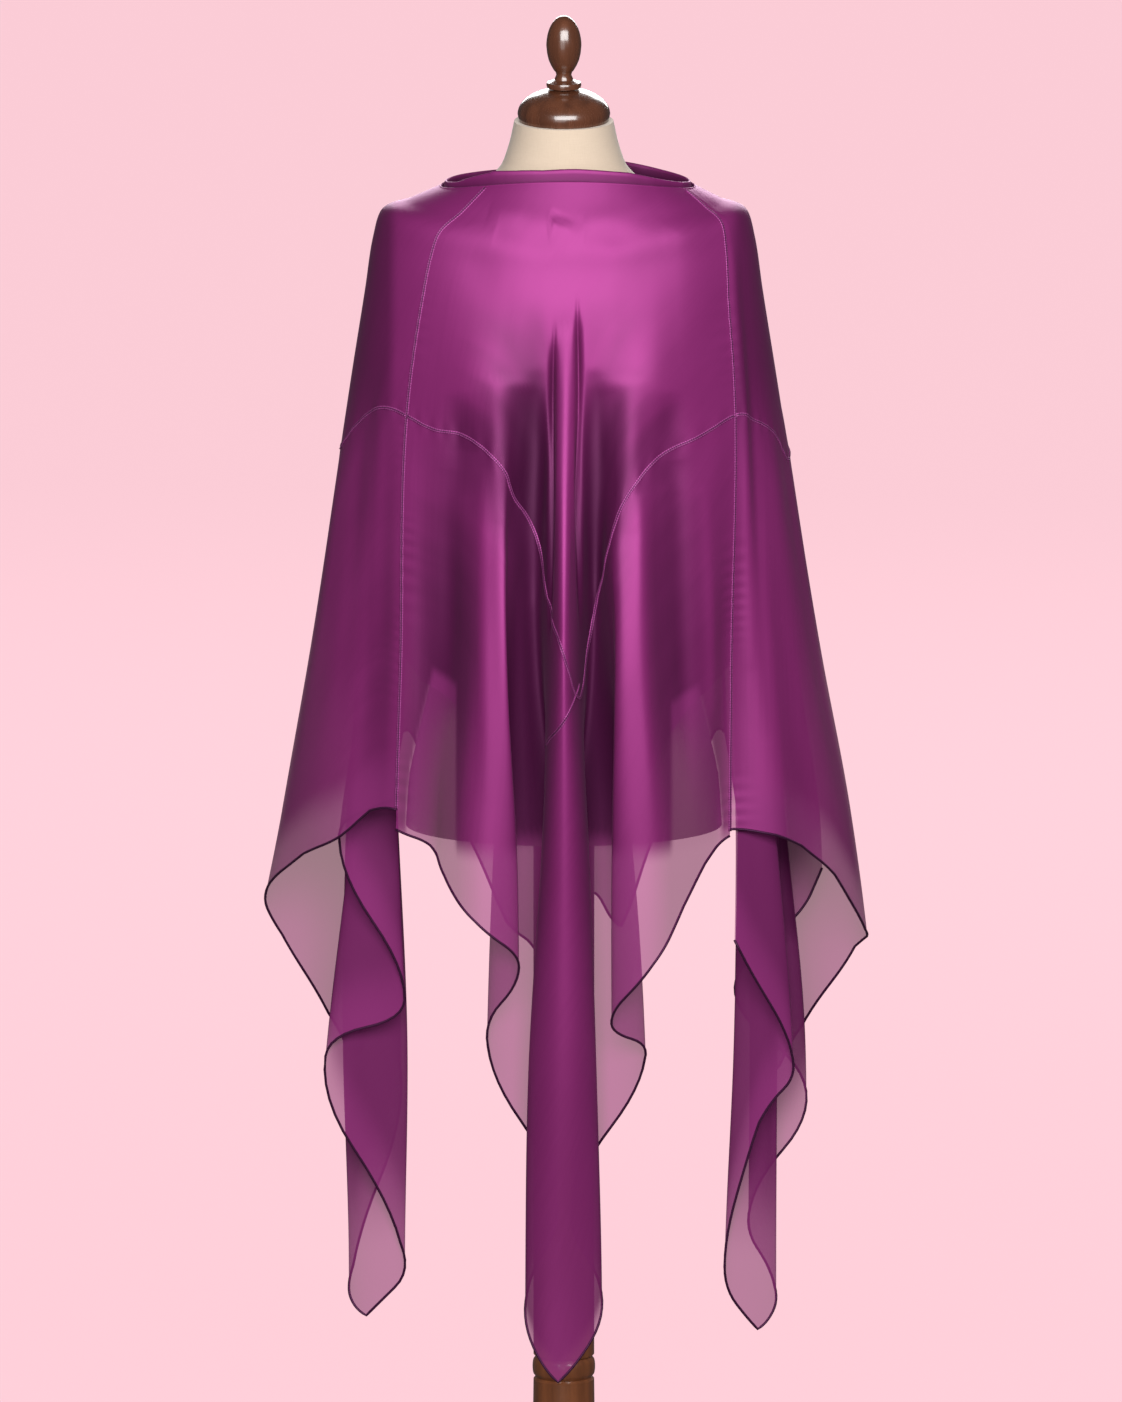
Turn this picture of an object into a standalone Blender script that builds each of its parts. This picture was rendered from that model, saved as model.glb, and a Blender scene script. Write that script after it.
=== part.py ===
"""Satin wrap with handkerchief tails, worn by a limbless dress form on a turned wooden stand.

Units are metres, +Z is up, the wearer's front faces -Y and the stand rests on z = 0.
The cloth is one closed surface round the form. It is held by fold lines, named lines that run
from the neckline to the hem. Each panel is a stretch of that surface between two seams.
"""
import math

import bmesh
import bpy
import numpy as np

MM = 0.001

# Walls and the gaps between sewn pieces, across the yoke seam and at the upright seams
WALL = 1.0 * MM
SEAM_GAP = 0.6 * MM
SIDE_GAP = 0.6 * MM

# Stand and form heights
BASE_RADIUS = 170 * MM
BASE_HEIGHT = 30 * MM
POLE_RADIUS = 32 * MM
FORM_BOTTOM = 795 * MM
NECK_TOP = 1548 * MM
CAP_RADIUS = 48.5 * MM
CAP_TOP = 1583 * MM
FINIAL_TOP = 1660 * MM
TOUCH_GAP = 0.3 * MM

# The wrap hangs a little to the wearer's left of the form's axis
NECK_SHIFT = 4 * MM

# Rings that shape the wrap from the neckline to the bust, in mm
# level, half width, front depth, back depth, height at the sides, front and back, share of the neck angle
UPPER_RINGS = [
    (1530, 134, 72, 62, 1478, 1496, 1487, 1.00),
    (1485, 164, 87, 80, 1464, 1464, 1460, 0.75),
    (1440, 193, 101, 96, 1450, 1430, 1428, 0.45),
    (1415, 200, 106, 101, 1424, 1409, 1407, 0.33),
    (1370, 208, 117, 108, 1370, 1370, 1370, 0.15),
    (1300, 219, 129, 115, 1300, 1300, 1300, 0.00),
]

# Heights of the lower levels that the fold lines are given at
WAIST_LEVEL = 980 * MM
HIP_LEVEL = 810 * MM
LOW_LEVEL = 570 * MM
TAIL_LEVEL = 330 * MM
BELOW_TAIL = 180 * MM

# Angle round the form at the bust, and at the neckline, for the seams
NECK_ANGLES = [(-180, -180), (-133, -133), (-46.6, -39.4), (0, 0), (54, 66), (134, 134), (180, 180)]

# Front fold lines from the left seam to the right seam, in mm
# name, angle at the bust, x and y at the waist, hip, low and tail levels, yoke seam, hem, lining hem
FRONT_LINES = [
    ("left_seam", -46.6, -171, -115, -176, -120, -178, -120, -178, -120, 1252, 815, 1005),
    ("left_flat", -37.0, -138, -128, -140, -138, -140, -140, -140, -140, 1241, 802, 975),
    ("left_rise", -29.0, -112, -152, -124, -168, -124, -172, -124, -172, 1238, 776, 962),
    ("left_crest", -21.5, -88, -184, -92, -205, -92, -206, -92, -206, 1226, 735, 945),
    ("left_edge", -16.0, -59, -192, -49, -198, -47, -194, -47, -194, 1205, 684, 920),
    ("left_back", -12.0, -62, -166, -72, -162, -80, -160, -80, -160, 1178, 591, 890),
    ("left_valley", -7.5, -28, -138, -9, -140, -9, -140, -9, -140, 1140, 425, 860),
    ("tail_left", -3.8, -17, -170, -23, -170, -37, -168, -40, -162, 1063, 318, 840),
    ("tail_middle", 0.0, 0, -203, 1, -206, 0, -198, -6, -182, 1018, 235, 820),
    ("tail_right", 3.8, 17, -170, 26, -170, 34, -168, 40, -162, 968, 318, 820),
    ("right_valley", 7.5, 29, -138, 13, -140, 10, -140, 10, -140, 1050, 420, 834),
    ("right_back", 12.0, 50, -164, 70, -160, 85, -158, 85, -158, 1120, 577, 845),
    ("right_edge", 16.0, 54, -190, 50, -197, 50, -192, 50, -192, 1165, 622, 870),
    ("right_crest", 22.0, 84, -190, 92, -208, 92, -208, 92, -208, 1200, 689, 915),
    ("right_fall", 29.0, 112, -158, 124, -174, 124, -174, 124, -174, 1220, 745, 945),
    ("right_flat", 40.0, 150, -128, 148, -140, 148, -140, 148, -140, 1234, 783, 965),
]

# Side and back fold lines, in mm
# name, angle at the bust, x and y at the hip, low and tail levels, yoke seam, hem
RIGHT_LINES = [
    ("right_seam", 54.0, 174, -115, 174, -115, 174, -115, 1250, 814),
    ("front_strip", 61.0, 222, -106, 226, -106, 226, -106, 1244, 806),
    ("front_middle", 69.0, 248, -84, 254, -84, 254, -84, 1232, 790),
    ("front_wave", 78.0, 280, -52, 288, -52, 288, -52, 1212, 752),
    ("edge", 87.0, 300, -6, 326, -4, 326, -4, 1188, 683),
    ("back_wave", 97.0, 293, 38, 310, 38, 310, 38, 1200, 655),
    ("back_middle", 109.0, 256, 68, 250, 66, 250, 66, 1222, 562),
    ("back_point", 121.0, 216, 92, 214, 86, 214, 86, 1240, 520),
]
BACK_LINES = [
    ("right_back_seam", 134.0, 172, 112, 172, 112, 172, 112, 1250, 870),
    ("right_outer_crest", 143.0, 138, 152, 138, 152, 138, 152, 1248, 810),
    ("right_outer_valley", 152.0, 100, 132, 96, 132, 96, 132, 1246, 765),
    ("right_crest", 161.0, 62, 160, 60, 158, 60, 158, 1244, 650),
    ("right_valley", 171.0, 30, 136, 24, 134, 24, 134, 1242, 690),
    ("middle_crest", 180.0, 0, 166, 0, 160, 0, 158, 1240, 480),
    ("left_valley", -171.0, -30, 136, -24, 134, -24, 134, 1242, 620),
    ("left_crest", -161.0, -62, 160, -60, 158, -60, 158, 1244, 655),
    ("left_outer_valley", -152.0, -100, 132, -96, 132, -96, 132, 1246, 750),
    ("left_outer_crest", -143.0, -138, 152, -138, 152, -138, 152, 1248, 800),
]
LEFT_LINES = [
    ("left_back_seam", -133.0, -172, 112, -172, 112, -172, 112, 1250, 870),
    ("back_point", -121.0, -214, 90, -212, 84, -212, 84, 1240, 535),
    ("back_middle", -109.0, -254, 66, -248, 62, -248, 62, 1222, 578),
    ("back_wave", -97.0, -286, 38, -300, 38, -300, 38, 1206, 668),
    ("edge", -87.0, -295, -8, -338, -4, -338, -4, 1200, 730),
    ("front_wave", -77.0, -270, -58, -284, -58, -284, -58, 1222, 776),
    ("front_middle", -66.0, -236, -90, -240, -90, -240, -90, 1246, 800),
    ("front_hollow", -56.0, -204, -106, -206, -106, -206, -106, 1257, 832),
]

# Hems of the side panel at the left front seam and of the front panel at the right one
LEFT_SEAM_SIDE_HEM = 836 * MM
RIGHT_SEAM_FRONT_HEM = 807 * MM

# Tail panels: their front and top edges lie on the inner face of the side panels
TAIL_TOP = 1250 * MM
TAIL_BELOW_YOKE = 4 * MM
TAIL_BEHIND = WALL + 0.6 * MM
TAIL_SLACK = 6 * MM
# Levels from the top to the hip, over which a tail leaves the side panel for its own folds
TAIL_UPPER_LEVELS = 5

# Fold lines of the tails, from front to rear
# name, how many of the wrap's lines behind the front seam it hangs, then in mm
# x and y at the hip, low and tail levels, and the hem
LEFT_TAIL = [
    ("seam_edge", 0.15, -180, -112, -180, -112, -180, -112, 846),
    ("hidden_outer", 1.05, -234, -70, -234, -70, -234, -70, 792),
    ("front_inner", 1.4, -174, -57, -166, -56, -166, -56, 618),
    ("flap_outer", 1.75, -222, -41, -249, -40, -268, -40, 554),
    ("tail_inner", 2.1, -176, -25, -168, -24, -172, -22, 348),
    ("tail_tip", 2.5, -202, -14, -205, -12, -208, -12, 268),
    ("tail_outer", 3.0, -226, -2, -230, 0, -222, 2, 319),
    ("rear_inner", 3.5, -178, 16, -172, 16, -172, 16, 500),
    ("rear_edge", 4.0, -220, 32, -222, 32, -222, 32, 640),
]
RIGHT_TAIL = [
    ("seam_edge", 0.15, 180, -108, 177, -107, 177, -107, 694),
    ("flap_outer", 0.55, 222, -88, 240, -85, 240, -85, 561),
    ("flap_low", 0.9, 204, -76, 205, -74, 205, -74, 490),
    ("tail_inner", 1.3, 182, -64, 178, -63, 169, -62, 332),
    ("tail_tip", 1.7, 203, -52, 204, -51, 204, -50, 262),
    ("tail_outer", 2.1, 224, -40, 224, -39, 222, -38, 305),
    ("turn", 2.45, 194, -24, 197, -24, 196, -22, 388),
    ("rear_outer", 2.85, 232, -8, 253, -8, 254, -8, 509),
    ("rear_inner", 3.25, 184, 10, 180, 10, 180, 10, 610),
    ("rear_middle", 3.6, 238, 23, 238, 24, 238, 24, 686),
    ("rear_edge", 4.0, 268, 34, 268, 36, 268, 36, 740),
]

# Share of the way from the bust to the hip that a side or back fold has opened at the waist
WAIST_SHARE = 0.62

# Bust under the cloth: half spacing, height, rise and spread
BUST_X = 88 * MM
BUST_Z = 1290 * MM
BUST_RISE = 9 * MM
BUST_SPREAD = 42 * MM

# Where the rows of an upper panel lie, as shares of the way down. The third follows the shoulder.
YOKE_SHARES = (0.0, 0.14, 0.27, 0.41, 0.58, 0.78, 1.0)
# Rows down the other panels
SKIRT_ROWS = 13
TAIL_ROWS = 12
LINING_ROWS = 4

# Lining of the front: top edge, distance behind the front at the seams, and how far it bows forward
LINING_TOP = 1232 * MM
LINING_BACK = WALL + SEAM_GAP
LINING_BOW_TOP = 27 * MM
LINING_BOW_HEM = 14 * MM

# Fold that stands inside the front neckline: its ends, full height and where it tapers
FOLD_ANGLES = (-60, 66)
FOLD_HEIGHT = 12 * MM
FOLD_FULL_X = 78 * MM
FOLD_END_X = 124 * MM
FOLD_COLUMNS = 24
# Its section: distance in from the neckline, share of the fold height, height added, in mm
FOLD_SECTION = [
    (1.75, 0.0, -12),
    (1.75, 0.0, 0),
    (2.2, 0.7, 0),
    (4.0, 1.0, 0),
    (6.0, 0.8, 0),
    (7.5, 0.0, -12),
]

# Dress form sections in mm: height, half width, front depth, back depth
FORM_SECTIONS = [
    (795, 166, 112, 118),
    (850, 162, 110, 117),
    (900, 151, 104, 110),
    (960, 137, 97, 99),
    (1020, 126, 92, 90),
    (1100, 131, 100, 90),
    (1200, 146, 110, 95),
    (1280, 158, 114, 99),
    (1350, 173, 108, 99),
    (1400, 189, 94, 92),
    (1430, 193, 78, 78),
    (1446.8, 191.8, 62, 62),
    (1451, 182, 56, 56),
    (1456, 156, 53, 52),
    (1465, 122, 52, 51),
    (1479, 88, 52, 53),
    (1500, 66, 52, 55),
    (1525, 57, 52, 54),
    (1548, 52, 52, 52),
]
FORM_SIDES = 28

MATERIALS = {
    "satin": ((0.20, 0.028, 0.15), 0.34, 0.0),
    "linen": ((0.80, 0.72, 0.58), 0.85, 0.0),
    "dark_wood": ((0.075, 0.024, 0.012), 0.28, 0.0),
    "pole_wood": ((0.16, 0.055, 0.025), 0.35, 0.0),
}


def clear_scene():
    """Remove every object of the open scene."""
    for obj in list(bpy.data.objects):
        bpy.data.objects.remove(obj, do_unlink=True)


def make_material(name):
    """Return the named Principled material, made once."""
    existing = bpy.data.materials.get(name)
    if existing:
        return existing
    colour, roughness, metallic = MATERIALS[name]
    material = bpy.data.materials.new(name)
    material.use_nodes = True
    shader = material.node_tree.nodes["Principled BSDF"]
    shader.inputs["Base Color"].default_value = (*colour, 1.0)
    shader.inputs["Roughness"].default_value = roughness
    shader.inputs["Metallic"].default_value = metallic
    material.diffuse_color = (*colour, 1.0)
    return material


def make_object(name, mesh, material, collection):
    """Wrap a mesh in an object of the given collection and material."""
    obj = bpy.data.objects.new(name, mesh)
    obj.data.materials.append(make_material(material))
    collection.objects.link(obj)
    return obj


def upper_station(ring, angle):
    """Point of one upper ring at a fold line's angle, with its level."""
    level, half_width, front, back, side_z, front_z, back_z, share = ring
    bust_angles = [pair[0] for pair in NECK_ANGLES]
    neck_angles = [pair[1] for pair in NECK_ANGLES]
    turned_angle = angle + share * (np.interp(angle, bust_angles, neck_angles) - angle)
    sine = math.sin(math.radians(turned_angle))
    cosine = math.cos(math.radians(turned_angle))
    depth = front if cosine > 0 else back
    end_z = front_z if cosine > 0 else back_z
    height = side_z + (end_z - side_z) * cosine * cosine
    shift = NECK_SHIFT * share**3
    return (half_width * sine * MM + shift, -depth * cosine * MM, height * MM)


def lower_stations(row, bust_point, has_waist):
    """Points of one fold line at the waist, hip, low and tail levels and below."""
    numbers = [value * MM for value in row[2:]]
    if has_waist:
        waist = (numbers[0], numbers[1])
        numbers = numbers[2:]
    else:
        waist = tuple(b + WAIST_SHARE * (h - b) for b, h in zip(bust_point[:2], numbers[:2]))
    hip, low, tail = (numbers[0:2], numbers[2:4], numbers[4:6])
    levels = (WAIST_LEVEL, HIP_LEVEL, LOW_LEVEL, TAIL_LEVEL, BELOW_TAIL)
    places = (waist, hip, low, tail, tail)
    return [(place[0], place[1], level) for place, level in zip(places, levels)]


class FoldedSheet:
    """A smooth surface through fold lines, over a line position s and a level u."""

    def __init__(self, levels, points, closed):
        order = np.argsort(levels)
        self.levels = np.array(levels)[order]
        self.points = np.array(points)[:, order, :]
        self.count = len(points)
        self.closed = closed
        self.slopes = self.level_slopes()
        self.spline = self.spline_matrix()

    def level_slopes(self):
        """Slope of each line at each level, from the parabola through three levels."""
        steps = np.diff(self.levels)[None, :, None]
        secants = np.diff(self.points, axis=1) / steps
        slopes = np.empty_like(self.points)
        before, after = steps[:, :-1], steps[:, 1:]
        slopes[:, 1:-1] = (secants[:, :-1] * after + secants[:, 1:] * before) / (before + after)
        slopes[:, 0] = secants[:, 0]
        slopes[:, -1] = secants[:, -1]
        return slopes

    def spline_matrix(self):
        """Rows that turn points on a quadratic spline into its control points, with one more at each end."""
        count = self.count
        matrix = np.eye(count)
        inner = range(count) if self.closed else range(1, count - 1)
        for index in inner:
            matrix[index, index] = 0.75
            matrix[index, (index - 1) % count] += 0.125
            matrix[index, (index + 1) % count] += 0.125
        controls = np.linalg.inv(matrix)
        if self.closed:
            return np.vstack([controls[-1:], controls, controls[:2]])
        before = 2 * controls[:1] - controls[1:2]
        after = 2 * controls[-1:] - controls[-2:-1]
        return np.vstack([before, controls, after])

    def between(self, values, s):
        """A value of the fold lines, read in a straight line between two of them."""
        base = np.minimum(np.floor(s).astype(int), len(values) - 1 - (not self.closed))
        share = s - base
        following = (base + 1) % self.count
        return values[base % self.count] * (1 - share) + values[following] * share

    def at(self, s, u):
        """Points of the surface at line positions s and levels u."""
        s = np.asarray(s, float)
        u = np.asarray(u, float)
        cell = np.clip(np.searchsorted(self.levels, u) - 1, 0, len(self.levels) - 2)
        low, high = self.levels[cell], self.levels[cell + 1]
        step = high - low
        t = np.clip((u - low) / step, 0.0, 1.0)[:, None]
        step = step[:, None]
        weights = (2 * t**3 - 3 * t**2 + 1, (t**3 - 2 * t**2 + t) * step,
                   3 * t**2 - 2 * t**3, (t**3 - t**2) * step)
        nearest = np.floor(s + 0.5).astype(int)
        if self.closed:
            nearest = np.clip(nearest, 0, self.count)
        else:
            nearest = np.clip(nearest, 0, self.count - 1)
        offset = (s - nearest)[:, None]
        blend = ((0.5 - offset) ** 2 / 2, 0.75 - offset**2, (0.5 + offset) ** 2 / 2)
        mix = np.zeros((len(s), self.count))
        for shift, weight in enumerate(blend):
            mix += weight * self.spline[nearest + shift]
        result = np.zeros((len(s), 3))
        for weight, table, place in zip(weights, (self.points, self.slopes) * 2,
                                        (cell, cell, cell + 1, cell + 1)):
            result += weight * np.einsum("nk,knc->nc", mix, table[:, place, :])
        return result


class Cloth(FoldedSheet):
    """The whole wrap as one closed sheet, with its seam and hem heights."""

    def __init__(self):
        rows = [(row, True) for row in FRONT_LINES]
        rows += [(row, False) for row in RIGHT_LINES + BACK_LINES + LEFT_LINES]
        self.right_seam = len(FRONT_LINES)
        self.right_back_seam = self.right_seam + len(RIGHT_LINES)
        self.left_back_seam = self.right_back_seam + len(BACK_LINES)
        self.left_seam = len(rows)
        levels = [ring[0] * MM for ring in UPPER_RINGS]
        levels += [WAIST_LEVEL, HIP_LEVEL, LOW_LEVEL, TAIL_LEVEL, BELOW_TAIL]
        points = []
        for row, has_waist in rows:
            upper = [upper_station(ring, row[1]) for ring in UPPER_RINGS]
            points.append(upper + lower_stations(row, upper[-1], has_waist))
        super().__init__(levels, points, closed=True)
        self.yoke = np.array([row[10 if waist else 8] for row, waist in rows]) * MM
        self.hem = np.array([row[11 if waist else 9] for row, waist in rows]) * MM
        self.lining = np.array([row[12] for row in FRONT_LINES] + [989]) * MM

    def at(self, s, u):
        """Points of the wrap, its front pushed out over the two bust points."""
        points = super().at(s, u)
        x, y, z = points.T
        across = np.exp(-((np.abs(x) - BUST_X) / BUST_SPREAD) ** 2)
        down = np.exp(-((z - BUST_Z) / (1.3 * BUST_SPREAD)) ** 2)
        front = np.clip(-y / 0.08, 0.0, 1.0)
        points[:, 1] = y - BUST_RISE * across * down * front
        return points


def points_behind(cloth, s, u, distance):
    """Points of the wrap moved in from it, square to its surface."""
    ahead = cloth.at(s + 0.05, u) - cloth.at(s - 0.05, u)
    below = cloth.at(s, u - 2 * MM) - cloth.at(s, u + 2 * MM)
    inward = np.cross(ahead, below)
    inward /= np.linalg.norm(inward, axis=1)[:, None]
    return cloth.at(s, u) + inward * distance


def tail_sheet(cloth, table, seam, rearward):
    """Sheet and hem heights of one tail panel, which starts at a front seam of the wrap."""
    upper = np.linspace(TAIL_TOP, HIP_LEVEL, TAIL_UPPER_LEVELS)
    levels = list(upper) + [LOW_LEVEL, TAIL_LEVEL, BELOW_TAIL]
    places = seam + rearward * np.array([row[1] for row in table])
    hips = np.array([row[2:4] for row in table]) * MM
    hip_wall = points_behind(cloth, places, np.full(len(table), HIP_LEVEL), TAIL_BEHIND)
    points = []
    for level, share in zip(upper, np.linspace(0.0, 1.0, TAIL_UPPER_LEVELS)):
        distance = TAIL_BEHIND + TAIL_SLACK * 4 * share * (1 - share)
        layer = points_behind(cloth, places, np.full(len(table), level), distance)
        layer[:, :2] += (hips - hip_wall[:, :2]) * share
        layer[:, 2] = level
        points.append(layer)
    for column, level in zip((4, 6, 6), levels[TAIL_UPPER_LEVELS:]):
        points.append(np.array([(row[column] * MM, row[column + 1] * MM, level) for row in table]))
    points = np.swapaxes(np.array(points), 0, 1)
    return FoldedSheet(levels, points, closed=False), np.array([row[-1] for row in table]) * MM


def panel_columns(start, end, steps):
    """Line positions of the columns between two seams, with so many steps from line to line."""
    return np.linspace(start, end, (end - start) * steps + 1)


def panel_grid(cloth, columns, tops, bottoms, shares):
    """Grid of surface points, rows by columns, with its side edges moved in by half a seam gap."""
    grid = np.array([cloth.at(columns, tops + (bottoms - tops) * share) for share in shares])
    for edge, inner in ((0, 1), (-1, -2)):
        direction = grid[:, inner] - grid[:, edge]
        direction /= np.linalg.norm(direction, axis=1)[:, None]
        grid[:, edge] += direction * SIDE_GAP / 2
    return grid


def seam_margin(cloth, columns, heights):
    """Height to leave at the yoke seam, so that the gap across a steep stretch stays the same."""
    points = cloth.at(columns, heights)
    along = np.gradient(points, axis=0)
    level = np.maximum(np.hypot(along[:, 0], along[:, 1]), 0.1 * np.abs(along[:, 2]))
    return SEAM_GAP / 2 * np.hypot(1.0, along[:, 2] / level)


def grid_mesh(name, grid):
    """Mesh with one quad for each cell of a grid of points."""
    rows, columns = grid.shape[:2]
    bm = bmesh.new()
    verts = [[bm.verts.new(point) for point in row] for row in grid]
    for r in range(rows - 1):
        for c in range(columns - 1):
            bm.faces.new((verts[r][c], verts[r + 1][c], verts[r + 1][c + 1], verts[r][c + 1]))
    mesh = bpy.data.meshes.new(name)
    bm.to_mesh(mesh)
    bm.free()
    return mesh


def cloth_panel(name, grid, collection):
    """Cloth wall on a grid of points, half its thickness to each side. Normals are weighted by the
    corner angles, so that the two sides keep apart in the narrow folds."""
    obj = make_object(name, grid_mesh(name, grid), "satin", collection)
    wall = obj.modifiers.new("wall", "SOLIDIFY")
    wall.thickness = WALL
    wall.offset = 0.0
    wall.use_quality_normals = True
    return obj


def build_yokes(cloth, collection):
    """The four upper panels, from the neckline to the yoke seam."""
    spans = {
        "front_yoke": (0, cloth.right_seam, 3),
        "side_yoke_right": (cloth.right_seam, cloth.right_back_seam, 2),
        "back_yoke": (cloth.right_back_seam, cloth.left_back_seam, 2),
        "side_yoke_left": (cloth.left_back_seam, cloth.left_seam, 2),
    }
    for name, (start, end, steps) in spans.items():
        columns = panel_columns(start, end, steps)
        tops = np.full(len(columns), cloth.levels[-1])
        seam = cloth.between(cloth.yoke, columns)
        bottoms = seam + seam_margin(cloth, columns, seam)
        cloth_panel(name, panel_grid(cloth, columns, tops, bottoms, YOKE_SHARES), collection)


def build_skirts(cloth, collection):
    """The four lower panels, from the yoke seam to the hem."""
    spans = {
        "front_skirt": (0, cloth.right_seam, 3),
        "side_skirt_right": (cloth.right_seam, cloth.right_back_seam, 2),
        "back_skirt": (cloth.right_back_seam, cloth.left_back_seam, 2),
        "side_skirt_left": (cloth.left_back_seam, cloth.left_seam, 2),
    }
    shares = np.linspace(0.0, 1.0, SKIRT_ROWS + 1)
    for name, (start, end, steps) in spans.items():
        columns = panel_columns(start, end, steps)
        seam = cloth.between(cloth.yoke, columns)
        tops = seam - seam_margin(cloth, columns, seam)
        hem = cloth.hem.copy()
        if name == "front_skirt":
            hem[cloth.right_seam] = RIGHT_SEAM_FRONT_HEM
        if name == "side_skirt_left":
            hem[0] = LEFT_SEAM_SIDE_HEM
        bottoms = cloth.between(hem, columns)
        cloth_panel(name, panel_grid(cloth, columns, tops, bottoms, shares), collection)


def build_tails(cloth, collection):
    """The two long side tails, folded to and fro from the front to the rear."""
    tails = {
        "side_tail_left": (LEFT_TAIL, cloth.left_seam, -1),
        "side_tail_right": (RIGHT_TAIL, cloth.right_seam, 1),
    }
    for name, (table, seam, rearward) in tails.items():
        sheet, hem = tail_sheet(cloth, table, seam, rearward)
        columns = panel_columns(0, len(table) - 1, 4)
        bottoms = sheet.between(hem, columns)
        places = seam + rearward * np.interp(columns, range(len(table)), [row[1] for row in table])
        tops = cloth.between(cloth.yoke, places) - TAIL_BELOW_YOKE
        shares = np.linspace(0.0, 1.0, TAIL_ROWS + 1)
        grid = [sheet.at(columns, tops + (bottoms - tops) * share) for share in shares]
        cloth_panel(name, np.array(grid), collection)


def build_lining(cloth, collection):
    """Inner layer of the front, hung behind it from seam to seam."""
    columns = panel_columns(0, cloth.right_seam, 2)
    hems = np.interp(columns, range(len(cloth.lining)), cloth.lining)
    shares = np.linspace(0.0, 1.0, LINING_ROWS + 1)
    grid = []
    for share in shares:
        heights = LINING_TOP + (hems - LINING_TOP) * share
        left = cloth.at(np.zeros(len(columns)), heights)
        right = cloth.at(np.full(len(columns), cloth.right_seam), heights)
        across = columns / cloth.right_seam
        fall = (LINING_TOP - heights) / (LINING_TOP - cloth.lining.min())
        bow = LINING_BOW_TOP + (LINING_BOW_HEM - LINING_BOW_TOP) * np.sqrt(fall)
        row = left + (right - left) * across[:, None]
        row[:, 1] += LINING_BACK - bow * np.sin(math.pi * across)
        grid.append(row)
    cloth_panel("front_lining", np.array(grid), collection)


def build_neck_fold(cloth, collection):
    """Soft fold of the facing that stands just inside the front neckline."""
    angles = np.linspace(*FOLD_ANGLES, FOLD_COLUMNS + 1)
    ring = UPPER_RINGS[0]
    fixed_ring = ring[:-1] + (0.0,)
    edge = np.array([upper_station(fixed_ring, angle) for angle in angles])
    edge[:, 0] += NECK_SHIFT
    inward = -edge * (1.0, 1.0, 0.0)
    inward /= np.linalg.norm(inward, axis=1)[:, None]
    taper = np.clip((FOLD_END_X - np.abs(edge[:, 0])) / (FOLD_END_X - FOLD_FULL_X), 0.0, 1.0)
    grid = []
    for distance, height_share, added in FOLD_SECTION:
        row = edge + inward * distance * MM
        row[:, 2] += FOLD_HEIGHT * height_share * taper + added * MM
        grid.append(row)
    cloth_panel("neck_fold", np.array(grid), collection)


def turned(name, profile, steps, material, collection):
    """Turned solid from a profile of radius and height, run down its outer side."""
    mesh = bpy.data.meshes.new(name)
    edges = [(i, i + 1) for i in range(len(profile) - 1)]
    mesh.from_pydata([(radius, 0.0, height) for radius, height in profile], edges, [])
    obj = make_object(name, mesh, material, collection)
    screw = obj.modifiers.new("turn", "SCREW")
    screw.axis = "Z"
    screw.steps = steps
    screw.render_steps = steps
    screw.use_merge_vertices = True
    screw.merge_threshold = 0.00001
    return obj


def arc(centre_r, centre_z, radius_r, radius_z, start, end, count):
    """Points of an elliptic arc between two angles in degrees, in radius and height."""
    angles = np.radians(np.linspace(start, end, count))
    return [(centre_r + radius_r * math.cos(a), centre_z + radius_z * math.sin(a)) for a in angles]


def build_stand(collection):
    """Turned base, pole, neck cap and finial."""
    edge = 10 * MM
    base = [(0.0, BASE_HEIGHT), (0.30 * BASE_RADIUS, BASE_HEIGHT)]
    base += arc(BASE_RADIUS - edge, BASE_HEIGHT - edge, edge, edge, 90, 0, 5)
    base += [(BASE_RADIUS, 4 * MM), (BASE_RADIUS - 4 * MM, 0.0), (0.0, 0.0)]
    turned("stand_base", base, 36, "dark_wood", collection)

    foot = BASE_HEIGHT + TOUCH_GAP
    bead_top, bead_bottom = 222 * MM, 200 * MM
    groove = 2.5 * MM
    pole = [(0.0, FORM_BOTTOM - TOUCH_GAP), (POLE_RADIUS, FORM_BOTTOM - TOUCH_GAP)]
    pole += [(POLE_RADIUS, 500 * MM), (POLE_RADIUS, bead_top + groove)]
    pole += [(POLE_RADIUS - groove, bead_top)]
    pole += arc(POLE_RADIUS - 0.5 * MM, 0.5 * (bead_top + bead_bottom), 1.5 * MM, 8 * MM, 70, -70, 5)
    pole += [(POLE_RADIUS - groove, bead_bottom), (POLE_RADIUS, bead_bottom - groove)]
    pole += [(POLE_RADIUS + 1 * MM, 120 * MM), (POLE_RADIUS + 6 * MM, 80 * MM)]
    pole += [(POLE_RADIUS + 18 * MM, 50 * MM), (POLE_RADIUS + 20 * MM, foot), (0.0, foot)]
    turned("stand_pole", pole, 24, "pole_wood", collection)

    cap_foot = NECK_TOP + TOUCH_GAP
    cap = [(0.0, CAP_TOP)]
    cap += arc(0.0, cap_foot + 7 * MM, CAP_RADIUS, CAP_TOP - cap_foot - 7 * MM, 80, 0, 8)
    cap += [(CAP_RADIUS - 1.5 * MM, cap_foot), (0.0, cap_foot)]
    turned("neck_cap", cap, 28, "dark_wood", collection)

    collar = CAP_TOP + TOUCH_GAP
    finial = [(0.0, FINIAL_TOP)]
    finial += arc(0.0, 1628 * MM, 18.4 * MM, FINIAL_TOP - 1628 * MM, 80, 0, 8)
    finial += [(16 * MM, 1613 * MM), (10.5 * MM, 1602 * MM), (7.9 * MM, 1597 * MM)]
    finial += [(10 * MM, 1592 * MM), (17.5 * MM, 1589 * MM), (18.4 * MM, 1586.5 * MM)]
    finial += [(17.5 * MM, collar), (0.0, collar)]
    turned("finial", finial, 20, "dark_wood", collection)


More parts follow.
